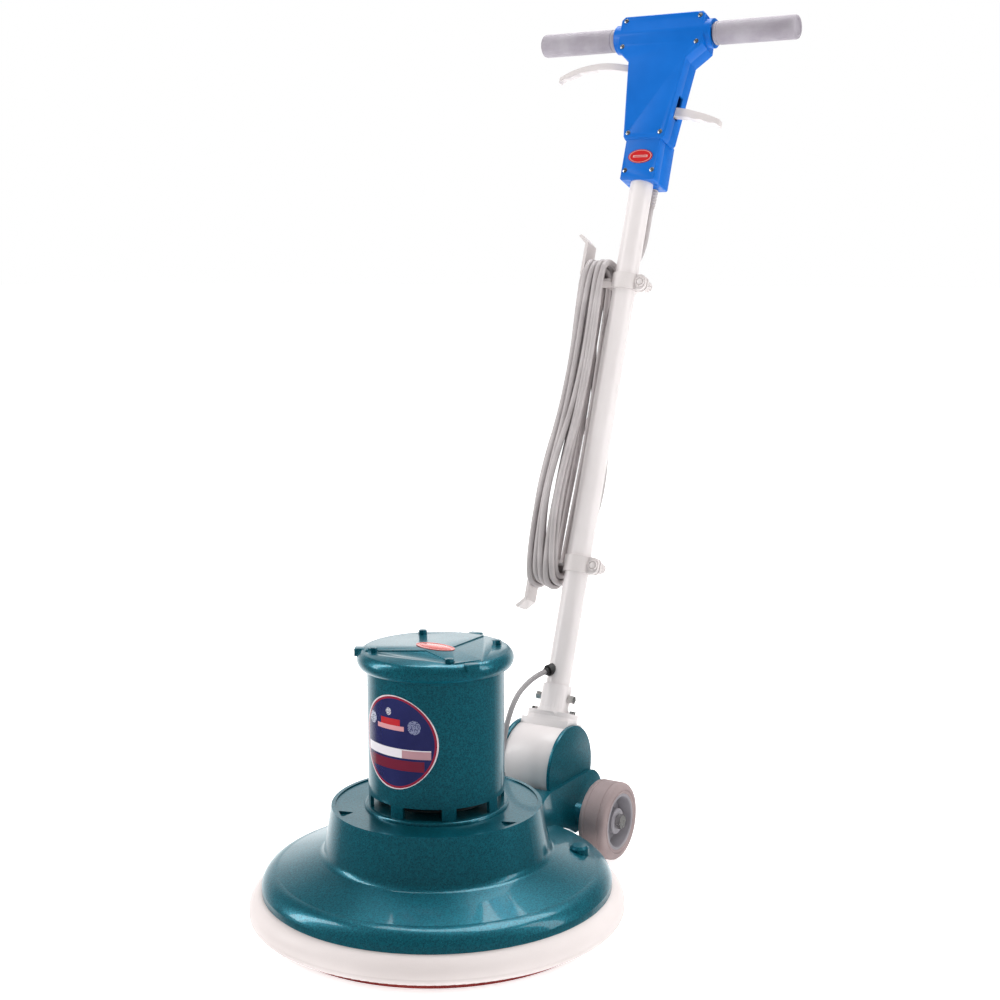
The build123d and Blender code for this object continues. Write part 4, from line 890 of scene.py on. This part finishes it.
@dataclass
class StoredCord:
    """The mains cord: out of the head, wound on the two hooks, its plug hanging behind.

    Attributes:
        radius: The cord's radius in millimetres.
        gland: Where it leaves the strain relief, as across, front and height on the handle.
        turns_across: How many turns lie side by side.
        layers: How many layers lie over each other.
        pitch: The turns' spacing in millimetres.
        nearest: The first turn's place across, next to the tube.
        top: The height of the inner turns' tops.
        bottom: The height of the inner turns' bottoms.
        half_depth: How far the inner turns stand before and behind the hooks.
        length: The cord's length in metres, not used.
        strays: The turns whose back runs have slipped behind the tube.
        lead_in: The points from the strain relief to the first turn.
        lead_out: The points from the last turn to the plug.
    """

    radius: float = 4.0
    gland: Point = (8.0, -23.5, 786.0)
    turns_across: int = 5
    layers: int = 2
    pitch: float = 8.3
    nearest: float = -25.5
    top: float = 682.0
    bottom: float = 255.0
    half_depth: float = 19.0
    length: float = 10.2
    strays: tuple[int, ...] = (5, 7)
    lead_in: tuple[Point, ...] = (
        (8.0, -23.5, 756.0),
        (4.5, -29.0, 728.0),
        (-7.0, -35.0, 704.0),
        (-21.0, -39.0, 684.0),
        (-27.0, -38.0, 650.0),
    )
    lead_out: tuple[Point, ...] = (
        (-36.0, -45.0, 640.0),
        (-39.0, -54.0, 606.0),
        (-41.0, -57.0, 570.0),
        (-41.0, -57.0, 536.0),
        (-41.0, -57.0, 504.0),
    )

    def turn(self, across: float, following: float, layer: int, number: int) -> list[Point]:
        """Lays one turn: down the back, round the lower hook, up the front and over the upper hook.

        Args:
            across: The turn's place across.
            following: The next turn's place across, to which the front run drifts.
            layer: 0 for the inner layer, 1 for the outer.
            number: The turn's number, which sets how loosely it hangs.

        Returns:
            The turn's points as across, front and height.
        """
        out = self.half_depth + layer * (2 * self.radius + 0.6)
        low = self.bottom - layer * 9.0 - 3.0 * (number % 3)
        high = self.top + layer * 9.0 + 1.5 * (number % 2)
        slack = 4.0 + 2.0 * ((number * 2) % 5)
        span = high - low
        belly = [0.10, 0.22, 0.36, 0.52, 0.70, 0.88]
        fan = [-3.0, -4.5, -1.5, 3.0, 4.5, 1.5]
        swing = {0: 0.0, 1: 2.5, 2: -2.0, 3: 1.5, 4: -1.0}[number % 5]
        strayed = 34.0 + 6.0 * (number % 2) if number in self.strays else 0.0
        behind = [
            (
                across + swing * sin(pi * share) + strayed * sin(pi * share**0.55) ** 2,
                -(out + slack * sin(pi * share) ** 2 * (0.5 + 0.5 * layer))
                - 0.22 * strayed * sin(pi * share),
                high - (1.0 - share) * span,
            )
            for share in belly[::-1]
        ]
        below = [
            (across, -out * 0.93, low + 12.0),
            (across, -out * 0.52, low - 3.0),
            (across, out * 0.52, low - 3.0),
            (across, out * 0.93, low + 12.0),
        ]
        before = [
            (
                across + (following - across) * share + swing * sin(2 * pi * share) + drift,
                out + slack * sin(pi * min(1.0, share * 1.6)) ** 2 - 3.0 * sin(pi * share) ** 4,
                low + share * span,
            )
            for share, drift in zip(belly, fan)
        ]
        above = [
            (following, out * 0.93, high - 12.0),
            (following, out * 0.52, high + 3.0),
            (following, -out * 0.52, high + 3.0),
            (following, -out * 0.93, high - 12.0),
        ]
        return behind + below + before + above

    def route(self) -> list[Vector]:
        """Gives the whole cord's points, from the gland to the plug."""
        inner = [self.nearest - self.pitch * i for i in range(self.turns_across)]
        places = [(across, 0) for across in inner]
        places += [(across, 1) for across in inner[::-1]][: self.turns_across * (self.layers - 1)]
        points: list[Point] = [self.gland, *self.lead_in]
        for number, (across, layer) in enumerate(places):
            following = places[min(number + 1, len(places) - 1)][0]
            points += self.turn(across, following, layer, number)
        points += list(self.lead_out)
        return [on_handle(*point) for point in points]

    def build(self) -> bpy.types.Object:
        cord = spline_along("wound_mains_cord", self.route(), self.radius * MM, 4)
        cord.data.materials.append(JACKET.material())
        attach(cord, Body.HANDLE.value)
        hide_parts("mains_cord", "cord_hank")
        plug = self.plug()
        LOG.info("wound cord of %d points", len(cord.data.splines[0].points))
        return cord

    def plug(self) -> bpy.types.Object:
        """Models the moulded plug with its ribbed neck, flange and two pins."""
        across, depth, top = -41.0, 57.0, 504.0
        body = Bench.cylinder(17.3 * MM, 5.6 * MM, (across * MM, depth * MM, 467.0 * MM))
        body.pick_faces(lambda middle, normal: normal.z > 0.9)
        centre = (across * MM, depth * MM, 470.0 * MM)
        body.inset(1.6 * MM).extrude((0, 0, 12 * MM)).grow((0.86, 0.80, 1.0), centre)
        body.extrude((0, 0, 12 * MM)).grow((0.70, 0.74, 1.0), centre)
        for step in range(3):
            body.extrude((0, 0, 1.2 * MM)).grow((0.84, 0.84, 1.0), centre)
            body.extrude((0, 0, 1.0 * MM)).grow((1.12, 1.12, 1.0), centre)
        body.extrude((0, 0, 2.6 * MM)).grow((0.72, 0.72, 1.0), centre)
        body.rounded(1.0 * MM, 2, 50.0)
        pins = []
        for side in (-1, 1):
            place = ((across + side * 9.5) * MM, depth * MM, 454.5 * MM)
            pin = Bench.cylinder(2.4 * MM, 19.5 * MM, place, sides=24)
            pin.pick_edges(lambda a, b: max(a.z, b.z) < 445.5 * MM)
            pin.bevel_edges(1.2 * MM, 3)
            pins.append(pin)
        deselect()
        for pin in pins:
            pin.piece.data.materials.append(ZINC.material())
        body.piece.data.materials.append(JACKET.material())
        body.joined(pins).leant()
        kept = list(body.piece.data.materials)
        piece = body.done("moulded_plug", JACKET, Body.HANDLE, "cord_grey", ("mains_plug",))
        piece.data.materials.clear()
        for material in kept:
            piece.data.materials.append(material)
        return piece


@dataclass
class MotorLead:
    """The short lead from the motor's gland up to the tube's grommet, curving across the tilt joint.

    Attributes:
        radius: The lead's radius in metres.
        length: Its length in metres, not used.
        gland: The tip of the gland it leaves.
        grommet_height: The grommet's height up the tube from the tilt pivot, in millimetres.
        grommet_reach: How far the grommet's nose stands from the tube's centre line.
        aside: How far the nose is turned from the tube's front to its left.
        drop: How far the nose points down.
        middle: The lead's points between its straight ends.
    """

    radius: float = 0.0035
    length: float = 0.165
    gland: Point = (-0.019, 0.181, 0.122)
    grommet_height: float = 133.0
    grommet_reach: float = 0.028
    aside: float = radians(20.0)
    drop: float = radians(8.0)
    middle: tuple[Point, ...] = (
        (-0.0190, 0.1810, 0.1370),
        (-0.0193, 0.1845, 0.1530),
        (-0.0200, 0.1920, 0.1710),
        (-0.0208, 0.2025, 0.1890),
        (-0.0213, 0.2165, 0.2055),
        (-0.0202, 0.2335, 0.2190),
    )

    def build(self) -> bpy.types.Object:
        """Makes the lead as a tube that bends across the tilt joint."""
        start = Vector(self.gland)
        outward = Vector(
            (-sin(self.aside) * cos(self.drop), -cos(self.aside) * cos(self.drop), -sin(self.drop))
        )
        end = on_handle(0.0, 0.0, self.grommet_height) + outward * self.grommet_reach
        route = [start, *(Vector(p) for p in self.middle), end + outward * 0.016, end]
        lead = spline_along("bending_motor_lead", route, 0.0, 5)
        followed = bpy.data.meshes.new_from_object(lead)
        bpy.data.meshes.remove(followed)
        lead.data.bevel_depth = self.radius
        deselect()
        lead.select_set(True)
        bpy.context.view_layer.objects.active = lead
        bpy.ops.object.convert(target="MESH")
        lead = bpy.context.object
        bpy.ops.object.shade_smooth_by_angle(angle=radians(50.0))
        lead.data.materials.clear()
        lead.data.materials.append(LEAD.material())
        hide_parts("motor_lead")
        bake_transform(lead)
        return lead


# ---------------------------------------------------------------------------------------- deck and motor
@dataclass
class MotorTop:
    """What is fixed on the motor's cover, whose arms' tops stand at a height in metres."""

    top: float = 0.3272

    def emblem(self) -> bpy.types.Object:
        """Models the small raised emblem in the middle of the three arms."""
        plate = Bench.cylinder(24.0 * MM, 1.0 * MM, (0.0, 0.0, self.top + 0.5 * MM), sides=48)
        plate.pick_faces(lambda middle, normal: abs(normal.z) < 2.0)
        plate.grow((1.15, 0.56, 1.0), (0.0, 0.0, self.top))
        plate.pick_faces(lambda middle, normal: normal.z > 0.9)
        plate.inset(1.6 * MM).extrude((0, 0, -0.35 * MM))
        plate.inset(3.0 * MM).extrude((0, 0, 0.35 * MM))
        plate.rounded(0.25 * MM, 2)
        turned = Matrix.Rotation(radians(-8.0), 4, "Z")
        return plate.moved(turned).done("cap_emblem", EMBLEM, Body.BASE, "badge_red")


@dataclass
class Wheel:
    """One transport wheel: moulded tyre and dished hub with ribs.

    Attributes:
        side: 1 for the wheel on +X, -1 for the other.
        middle: The wheel's axis as Y and Z, in metres.
        inner: The inner face's distance from the middle plane, in millimetres.
        width: The tyre's width in millimetres.
        radius: The tyre's radius in millimetres.
    """

    side: int
    middle: tuple[float, float] = (0.254, 0.058)
    inner: float = 78.0
    width: float = 38.0
    radius: float = 50.0

    @property
    def body(self) -> Body:
        """The body that this wheel turns with."""
        return Body.RIGHT_WHEEL if self.side > 0 else Body.LEFT_WHEEL

    @property
    def name(self) -> str:
        """Which wheel this is."""
        return "right" if self.side > 0 else "left"

    def _outline(self, pairs: Sequence[tuple[float, float]]) -> list[tuple[float, float]]:
        """Turns pairs of radius and distance out from the inner face into places along X."""
        return [(r, self.side * (self.inner + out)) for r, out in pairs]

    def tyre(self) -> bpy.types.Object:
        """Turns the tyre, with a shoulder line each side and a shallow groove in its tread."""
        r, w = self.radius, self.width
        bead = r - 14.0
        half = [
            (bead, w / 2),
            (bead, 1.2),
            (bead + 0.8, 0.4),
            (bead + 3.4, 0.0),
            (bead + 3.8, 0.7),
            (bead + 4.6, 0.7),
            (bead + 5.0, 0.0),
            (r - 5.2, 0.5),
            (r - 2.4, 1.6),
            (r - 0.7, 3.6),
            (r, 6.4),
            (r, 8.4),
            (r - 0.6, 9.0),
            (r - 0.6, 9.8),
            (r, 10.4),
            (r, w / 2),
        ]
        pairs = half + [(x, w - y) for x, y in half[::-1][1:]]
        origin = (0.0, *self.middle)
        turned = lathe(self._outline(pairs), "X", origin, 96)
        return turned.done(
            f"{self.name}_moulded_tyre", TYRE, self.body, "wheel_rubber", (f"{self.name}_tyre",), 32.0
        )

    def hub(self) -> bpy.types.Object:
        """Turns the dished hub and sets its ribs round the middle boss."""
        w, rim = self.width, self.radius - 14.05
        bore = 6.1
        pairs = [
            (bore, 0.6),
            (14.0, 0.6),
            (14.5, 1.4),
            (14.9, 11.6),
            (31.0, 12.0),
            (32.2, 2.2),
            (33.0, 1.0),
            (rim, 1.0),
            (rim, w - 1.0),
            (33.4, w - 0.6),
            (32.2, w - 1.8),
            (30.4, 19.4),
            (29.0, 18.4),
            (19.5, 18.0),
            (18.0, 18.8),
            (16.6, w - 5.6),
            (15.4, w - 4.4),
            (bore, w - 4.4),
            (bore, w / 2),
            (bore, 0.6),
        ]
        hub = lathe(self._outline(pairs), "X", (0.0, *self.middle), 96)
        ribs = []
        for step in range(6):
            out = self.side * (self.inner + 19.6) * MM
            rib = Bench.block((4.4 * MM, 14.5 * MM, 2.6 * MM), (out, 24.0 * MM, 0.0))
            rib.rounded(0.7 * MM, 2)
            turn = Matrix.Rotation(radians(60.0 * step + 10.0), 4, "X")
            ribs.append(rib.moved(Matrix.Translation((0.0, *self.middle)) @ turn))
        hub.joined(ribs)
        return hub.done(
            f"{self.name}_moulded_hub", HUB, self.body, "wheel_plastic", (f"{self.name}_hub",), 38.0
        )

    def build(self) -> list[bpy.types.Object]:
        """Makes the tyre and the hub."""
        return [self.tyre(), self.hub()]


# ---------------------------------------------------------------------------------------- handle
@dataclass
class Grip:
    """One stippled hand grip with a flange towards the head and a rounded, dished end.

    Attributes:
        side: 1 for the grip on +X, -1 for the other.
        bar: The bar's height up the handle in millimetres.
        start: Where the grip starts, from the middle.
        end: Where it ends.
        radius: Its radius.
    """

    side: int
    bar: float = 1033.0
    start: float = 76.0
    end: float = 196.0
    radius: float = 16.4

    def build(self) -> bpy.types.Object:
        """Turns the grip about the bar."""
        r = self.radius
        pairs = [
            (12.52, self.start + 0.4),
            (r - 1.0, self.start + 0.1),
            (r - 0.2, self.start + 1.0),
            (r - 0.2, self.start + 4.0),
            (r - 0.9, self.start + 4.8),
            (r - 0.9, self.start + 6.4),
            (r - 0.2, self.start + 7.2),
            (r, self.start + 60.0),
            (r, self.end - 3.2),
            (r - 0.7, self.end - 1.2),
            (r - 2.4, self.end),
            (r - 4.6, self.end - 0.1),
            (r - 5.6, self.end - 1.3),
            (5.0, self.end - 1.7),
            (0.0, self.end - 1.8),
        ]
        inside = [(0.0, 190.4), (12.52, 190.4), (12.52, self.start + 0.4)]
        outline = [(radius, self.side * along) for radius, along in pairs + inside]
        grip = lathe(outline, "X", (0.0, 0.0, self.bar * MM), 72).leant()
        name = "right" if self.side > 0 else "left"
        return grip.done(f"{name}_turned_grip", GRIP, Body.HANDLE, "grip_plastic", (f"{name}_grip",), 40.0)


@dataclass
class Softened:
    """A moulded or cast CAD piece whose edges are rounded off.

    Attributes:
        node: The CAD node it is copied from.
        finish: Its finish.
        body: The body it rides on.
        slot: Its record slot.
        width: The rounding in millimetres.
        segments: How many steps the rounding has.
    """

    node: str
    finish: Finish
    body: Body
    slot: str
    width: float = 0.8
    segments: int = 2

    def build(self) -> bpy.types.Object:
        """Copies the node, rounds its edges and lets it stand for the node."""
        bench = Bench.copy_of(self.node)
        bench.rounded(self.width * MM, self.segments, 38.0)
        return bench.done(f"{self.node}_rounded", self.finish, self.body, self.slot, (self.node,), 40.0)


@dataclass
class HeadFittings:
    """Cross-head screws, the ribbed strain relief and the knobs of the cord hooks."""

    corner_screws: tuple[tuple[float, float], ...] = (
        (-57.0, 1052.0),
        (57.0, 1052.0),
        (-57.0, 1013.0),
        (57.0, 1013.0),
        (-24.5, 881.0),
        (24.5, 881.0),
    )
    neck_screws: tuple[tuple[float, float], ...] = ((-20.5, 826.0), (20.5, 826.0))
    gland: Point = (8.0, -23.5, 786.0)
    hooks: tuple[float, ...] = (667.0, 270.0)
    ear: float = 26.0

    def _screw(self, radius: float) -> Bench:
        """Models one pan-head screw facing -Y at the origin, with a cross recess.

        Args:
            radius: The head's radius in millimetres.

        Returns:
            The bench with the screw.
        """
        head = Bench.cylinder(radius * MM, 1.6 * MM, (0.0, -0.8 * MM, 0.0), "Y", 32)
        head.pick_faces(lambda middle, normal: normal.y < -0.9)
        head.inset(0.5 * MM).extrude((0, -0.5 * MM, 0))
        head.inset(radius * 0.30 * MM).extrude((0, -0.15 * MM, 0))
        head.rounded(0.25 * MM, 2, 30.0)
        for wide, high in ((0.28, 1.15), (1.15, 0.28)):
            slot = Bench.block((wide * radius * MM, 1.6 * MM, high * radius * MM), (0.0, -2.2 * MM, 0.0))
            cut = head.piece.modifiers.new("recess", "BOOLEAN")
            cut.operation, cut.object, cut.solver = "DIFFERENCE", slot.piece, "EXACT"
            deselect()
            head.piece.select_set(True)
            bpy.context.view_layer.objects.active = head.piece
            bpy.ops.object.modifier_apply(modifier=cut.name)
            bpy.data.objects.remove(slot.piece)
        return head

    def screws(self) -> bpy.types.Object:
        """Sets a copy of the screw in each seat of the head."""
        master = self._screw(3.4)
        copies = []
        for number, ((u, v), front) in enumerate(
            [(spot, 18.5) for spot in self.corner_screws] + [(spot, 16.5) for spot in self.neck_screws]
        ):
            turn = Matrix.Rotation(radians(37.0 * number), 4, "Y")
            copies.append(master.copied(Matrix.Translation((u * MM, -front * MM, v * MM)) @ turn))
        bpy.data.objects.remove(master.piece)
        screws = copies[0].joined(copies[1:]).leant()
        return screws.done("cross_head_screws", ZINC, Body.HANDLE, "steel", ("head_screws",), 30.0)

    def relief(self) -> bpy.types.Object:
        """Turns the cord's tapered, ribbed strain relief."""
        u, front, v = self.gland
        outline = [(4.02, 0.0), (4.9, 0.0), (5.1, 0.8)]
        for step in range(5):
            low = 2.4 + step * 4.4
            size = 5.2 + step * 0.24
            outline += [(size - 0.9, low - 0.6), (size - 0.9, low), (size + 0.25, low + 0.7)]
            outline += [(size + 0.35, low + 2.6), (size - 0.75, low + 3.3)]
        outline += [(6.3, 25.0), (6.3, 25.9), (4.02, 25.9), (4.02, 12.0), (4.02, 0.0)]
        sleeve = lathe(outline, "Z", (u * MM, -front * MM, v * MM), 40).leant()
        return sleeve.done("ribbed_strain_relief", JACKET, Body.HANDLE, "cord_grey", ("cord_gland",), 35.0)

    def knobs(self) -> bpy.types.Object:
        """Models each hook's clamp screw: a ringed head in front and a fluted knob behind."""
        pieces = []
        for v in self.hooks:
            head = Bench.cylinder(6.6 * MM, 3.2 * MM, (self.ear * MM, -8.2 * MM, v * MM), "Y", 40)
            head.pick_faces(lambda middle, normal: normal.y < -0.9)
            head.inset(1.3 * MM).extrude((0, 1.7 * MM, 0))
            head.inset(1.0 * MM).extrude((0, -1.5 * MM, 0))
            head.rounded(0.4 * MM, 2, 40.0)
            shank = Bench.cylinder(3.0 * MM, 22.0 * MM, (self.ear * MM, 2.0 * MM, v * MM), "Y", 24)
            knob = Bench.cylinder(7.6 * MM, 11.0 * MM, (self.ear * MM, 12.1 * MM, v * MM), "Y", 36)
            knob.pick_faces(lambda middle, normal: abs(normal.y) < 0.5)
            mesh = bmesh.from_edit_mesh(knob.piece.data)
            sides = sorted(
                (face for face in mesh.faces if abs(face.normal.y) < 0.5),
                key=lambda face: Vector((1, 0)).angle_signed(
                    Vector((face.normal.x, face.normal.z)).normalized(), 0.0
                ),
            )
            for place, face in enumerate(sides):
                face.select_set(place % 3 == 0)
            bmesh.update_edit_mesh(knob.piece.data)
            bpy.ops.mesh.extrude_faces_move(TRANSFORM_OT_shrink_fatten={"value": -0.9 * MM})
            knob.rounded(0.35 * MM, 2, 40.0)
            pieces += [head, shank, knob]
        joined = pieces[0].joined(pieces[1:]).leant()
        return joined.done("hook_clamp_screws", PALE_CAST, Body.HANDLE, "pale_plastic", ("hook_bolts",), 35.0)

    def build(self) -> list[bpy.types.Object]:
        """Makes the screws, the strain relief and the knobs."""
        return [self.screws(), self.relief(), self.knobs()]


# ---------------------------------------------------------------------------------------- studio
@dataclass
class Studio:
    """Pale floor, soft boxes and the camera.

    Attributes:
        camera_place: Where the camera stands.
        heading: Its turn about the vertical, in degrees.
        pitch: How far it looks down, in degrees.
        roll: Its turn about its own axis, in degrees.
        lens: Its focal length in millimetres.
        white: The floor's reflectance.
        glow: How much light the floor gives of its own, which keeps it white far away.
        sky_back: The soft surround's strength behind the machine.
        sky_front: The soft surround's strength before it.
        gloss_back: What glossy surfaces mirror of the surround from behind the machine.
        gloss_front: What they mirror of it from elsewhere.
    """

    camera_place: Point = (1.0087, -1.5454, 0.7730)
    heading: float = 30.781
    pitch: float = 8.4265
    roll: float = -0.19
    lens: float = 58.452
    white: float = 0.93
    glow: float = 0.60
    sky_back: float = 0.70
    sky_front: float = 0.42
    gloss_back: float = 1.9
    gloss_front: float = 0.08

    def floor(self) -> None:
        """Lays the floor under the machine."""
        deselect()
        bpy.ops.mesh.primitive_plane_add(size=80.0, location=(0.0, 0.0, -0.0004))
        floor = bpy.context.object
        floor.name = "studio_floor"
        made = bpy.data.materials.new("studio floor")
        made.use_nodes = True
        shader = made.node_tree.nodes["Principled BSDF"]
        shader.inputs["Base Color"].default_value = (self.white, self.white, self.white, 1.0)
        shader.inputs["Roughness"].default_value = 0.6
        shader.inputs["Specular IOR Level"].default_value = 0.0
        shader.inputs["Emission Color"].default_value = (1.0, 1.0, 1.0, 1.0)
        shader.inputs["Emission Strength"].default_value = self.glow
        floor.data.materials.append(made)
        floor.visible_glossy = False

    def soft_box(self, name: str, place: Point, size: tuple[float, float], watts: float, aim: Point) -> None:
        """Hangs one soft box.

        Args:
            name: The lamp's name.
            place: Where it hangs.
            size: Its width and height in metres.
            watts: Its power.
            aim: The point it faces.
        """
        lamp = bpy.data.lights.new(name, "AREA")
        lamp.shape = "RECTANGLE"
        lamp.size, lamp.size_y = size
        lamp.energy = watts
        box = bpy.data.objects.new(name, lamp)
        box.location = place
        box.rotation_euler = (Vector(aim) - Vector(place)).to_track_quat("-Z", "Y").to_euler()
        bpy.context.scene.collection.objects.link(box)

    def camera(self) -> None:
        """Sets the camera up."""
        data = bpy.data.cameras.new("studio_camera")
        data.lens, data.sensor_width = self.lens, 36.0
        data.clip_start = 0.05
        camera = bpy.data.objects.new("studio_camera", data)
        camera.matrix_world = (
            Matrix.Translation(self.camera_place)
            @ Matrix.Rotation(radians(self.heading), 4, "Z")
            @ Matrix.Rotation(radians(90.0 - self.pitch), 4, "X")
            @ Matrix.Rotation(radians(self.roll), 4, "Z")
        )
        bpy.context.scene.collection.objects.link(camera)
        bpy.context.scene.camera = camera

    def build(self) -> None:
        """Sets up floor, world, soft boxes and camera."""
        self.camera()
        self.floor()
        self.sky()
        bpy.context.scene.view_settings.view_transform = "Standard"
        self.soft_box("left_box", (-1.8, -0.9, 1.3), (0.5, 2.0), 21.0, (0.0, 0.0, 0.4))
        self.soft_box("right_box", (2.0, 0.7, 1.3), (0.5, 2.0), 13.0, (0.0, 0.1, 0.4))
        self.soft_box("top_box", (0.0, 1.1, 3.0), (2.8, 2.0), 84.0, (0.0, 0.0, 0.2))

    def sky(self) -> None:
        """Surrounds the set with white that lights the front less, so that glossy fronts read dark."""
        world = bpy.data.worlds.new("studio_world")
        world.use_nodes = True
        bpy.context.scene.world = world
        nodes = Nodes(world.node_tree)
        facing = nodes.add("ShaderNodeVectorMath", operation="DOT_PRODUCT")
        nodes.link(nodes.add("ShaderNodeTexCoord").outputs["Generated"], facing.inputs[0])
        facing.inputs[1].default_value = Vector(self.camera_place).normalized()
        ray = nodes.add("ShaderNodeLightPath")
        soft = nodes.span(facing.outputs["Value"], -0.3, 0.7, self.sky_back, self.sky_front)
        gloss = nodes.span(facing.outputs["Value"], -1.0, -0.5, self.gloss_back, self.gloss_front)
        extra = nodes.sum("MULTIPLY", nodes.sum("SUBTRACT", gloss, soft), ray.outputs["Is Glossy Ray"])
        light = nodes.sum("ADD", soft, extra)
        seen = nodes.sum("MAXIMUM", light, ray.outputs["Is Camera Ray"])
        nodes.link(seen, world.node_tree.nodes["Background"].inputs["Strength"])
        world.node_tree.nodes["Background"].inputs["Color"].default_value = (1.0, 1.0, 1.0, 1.0)


def main() -> None:
    """Builds every piece in order and reports it."""
    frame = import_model()
    Studio().build()
    paint_nodes(frame["nodes"])
    StoredCord().build()
    MotorLead().build()
    MotorTop().emblem()
    for side in (-1, 1):
        Wheel(side).build()
        Grip(side).build()
    softened = (
        Softened("head_front_shell", BLUE, Body.HANDLE, "blue_plastic", 1.0, 3),
        Softened("head_rear_shell", BLUE, Body.HANDLE, "blue_plastic", 1.0, 3),
        Softened("motor_cover", ENAMEL, Body.BASE, "hammered_green", 0.8, 2),
        Softened("rear_fork", ENAMEL, Body.BASE, "hammered_green", 2.0, 3),
        Softened("tilt_drum", POWDER, Body.HANDLE, "pale_paint", 1.2, 2),
        Softened("neck_socket", POWDER, Body.HANDLE, "pale_paint", 1.6, 3),
        Softened("switch_lever", PALE_CAST, Body.SWITCH, "pale_plastic", 2.2, 3),
        Softened("release_lever", PALE_CAST, Body.RELEASE, "pale_plastic", 2.2, 3),
    )
    for piece in softened:
        piece.build()
    HeadFittings().build()


if __name__ == "__main__":
    main()
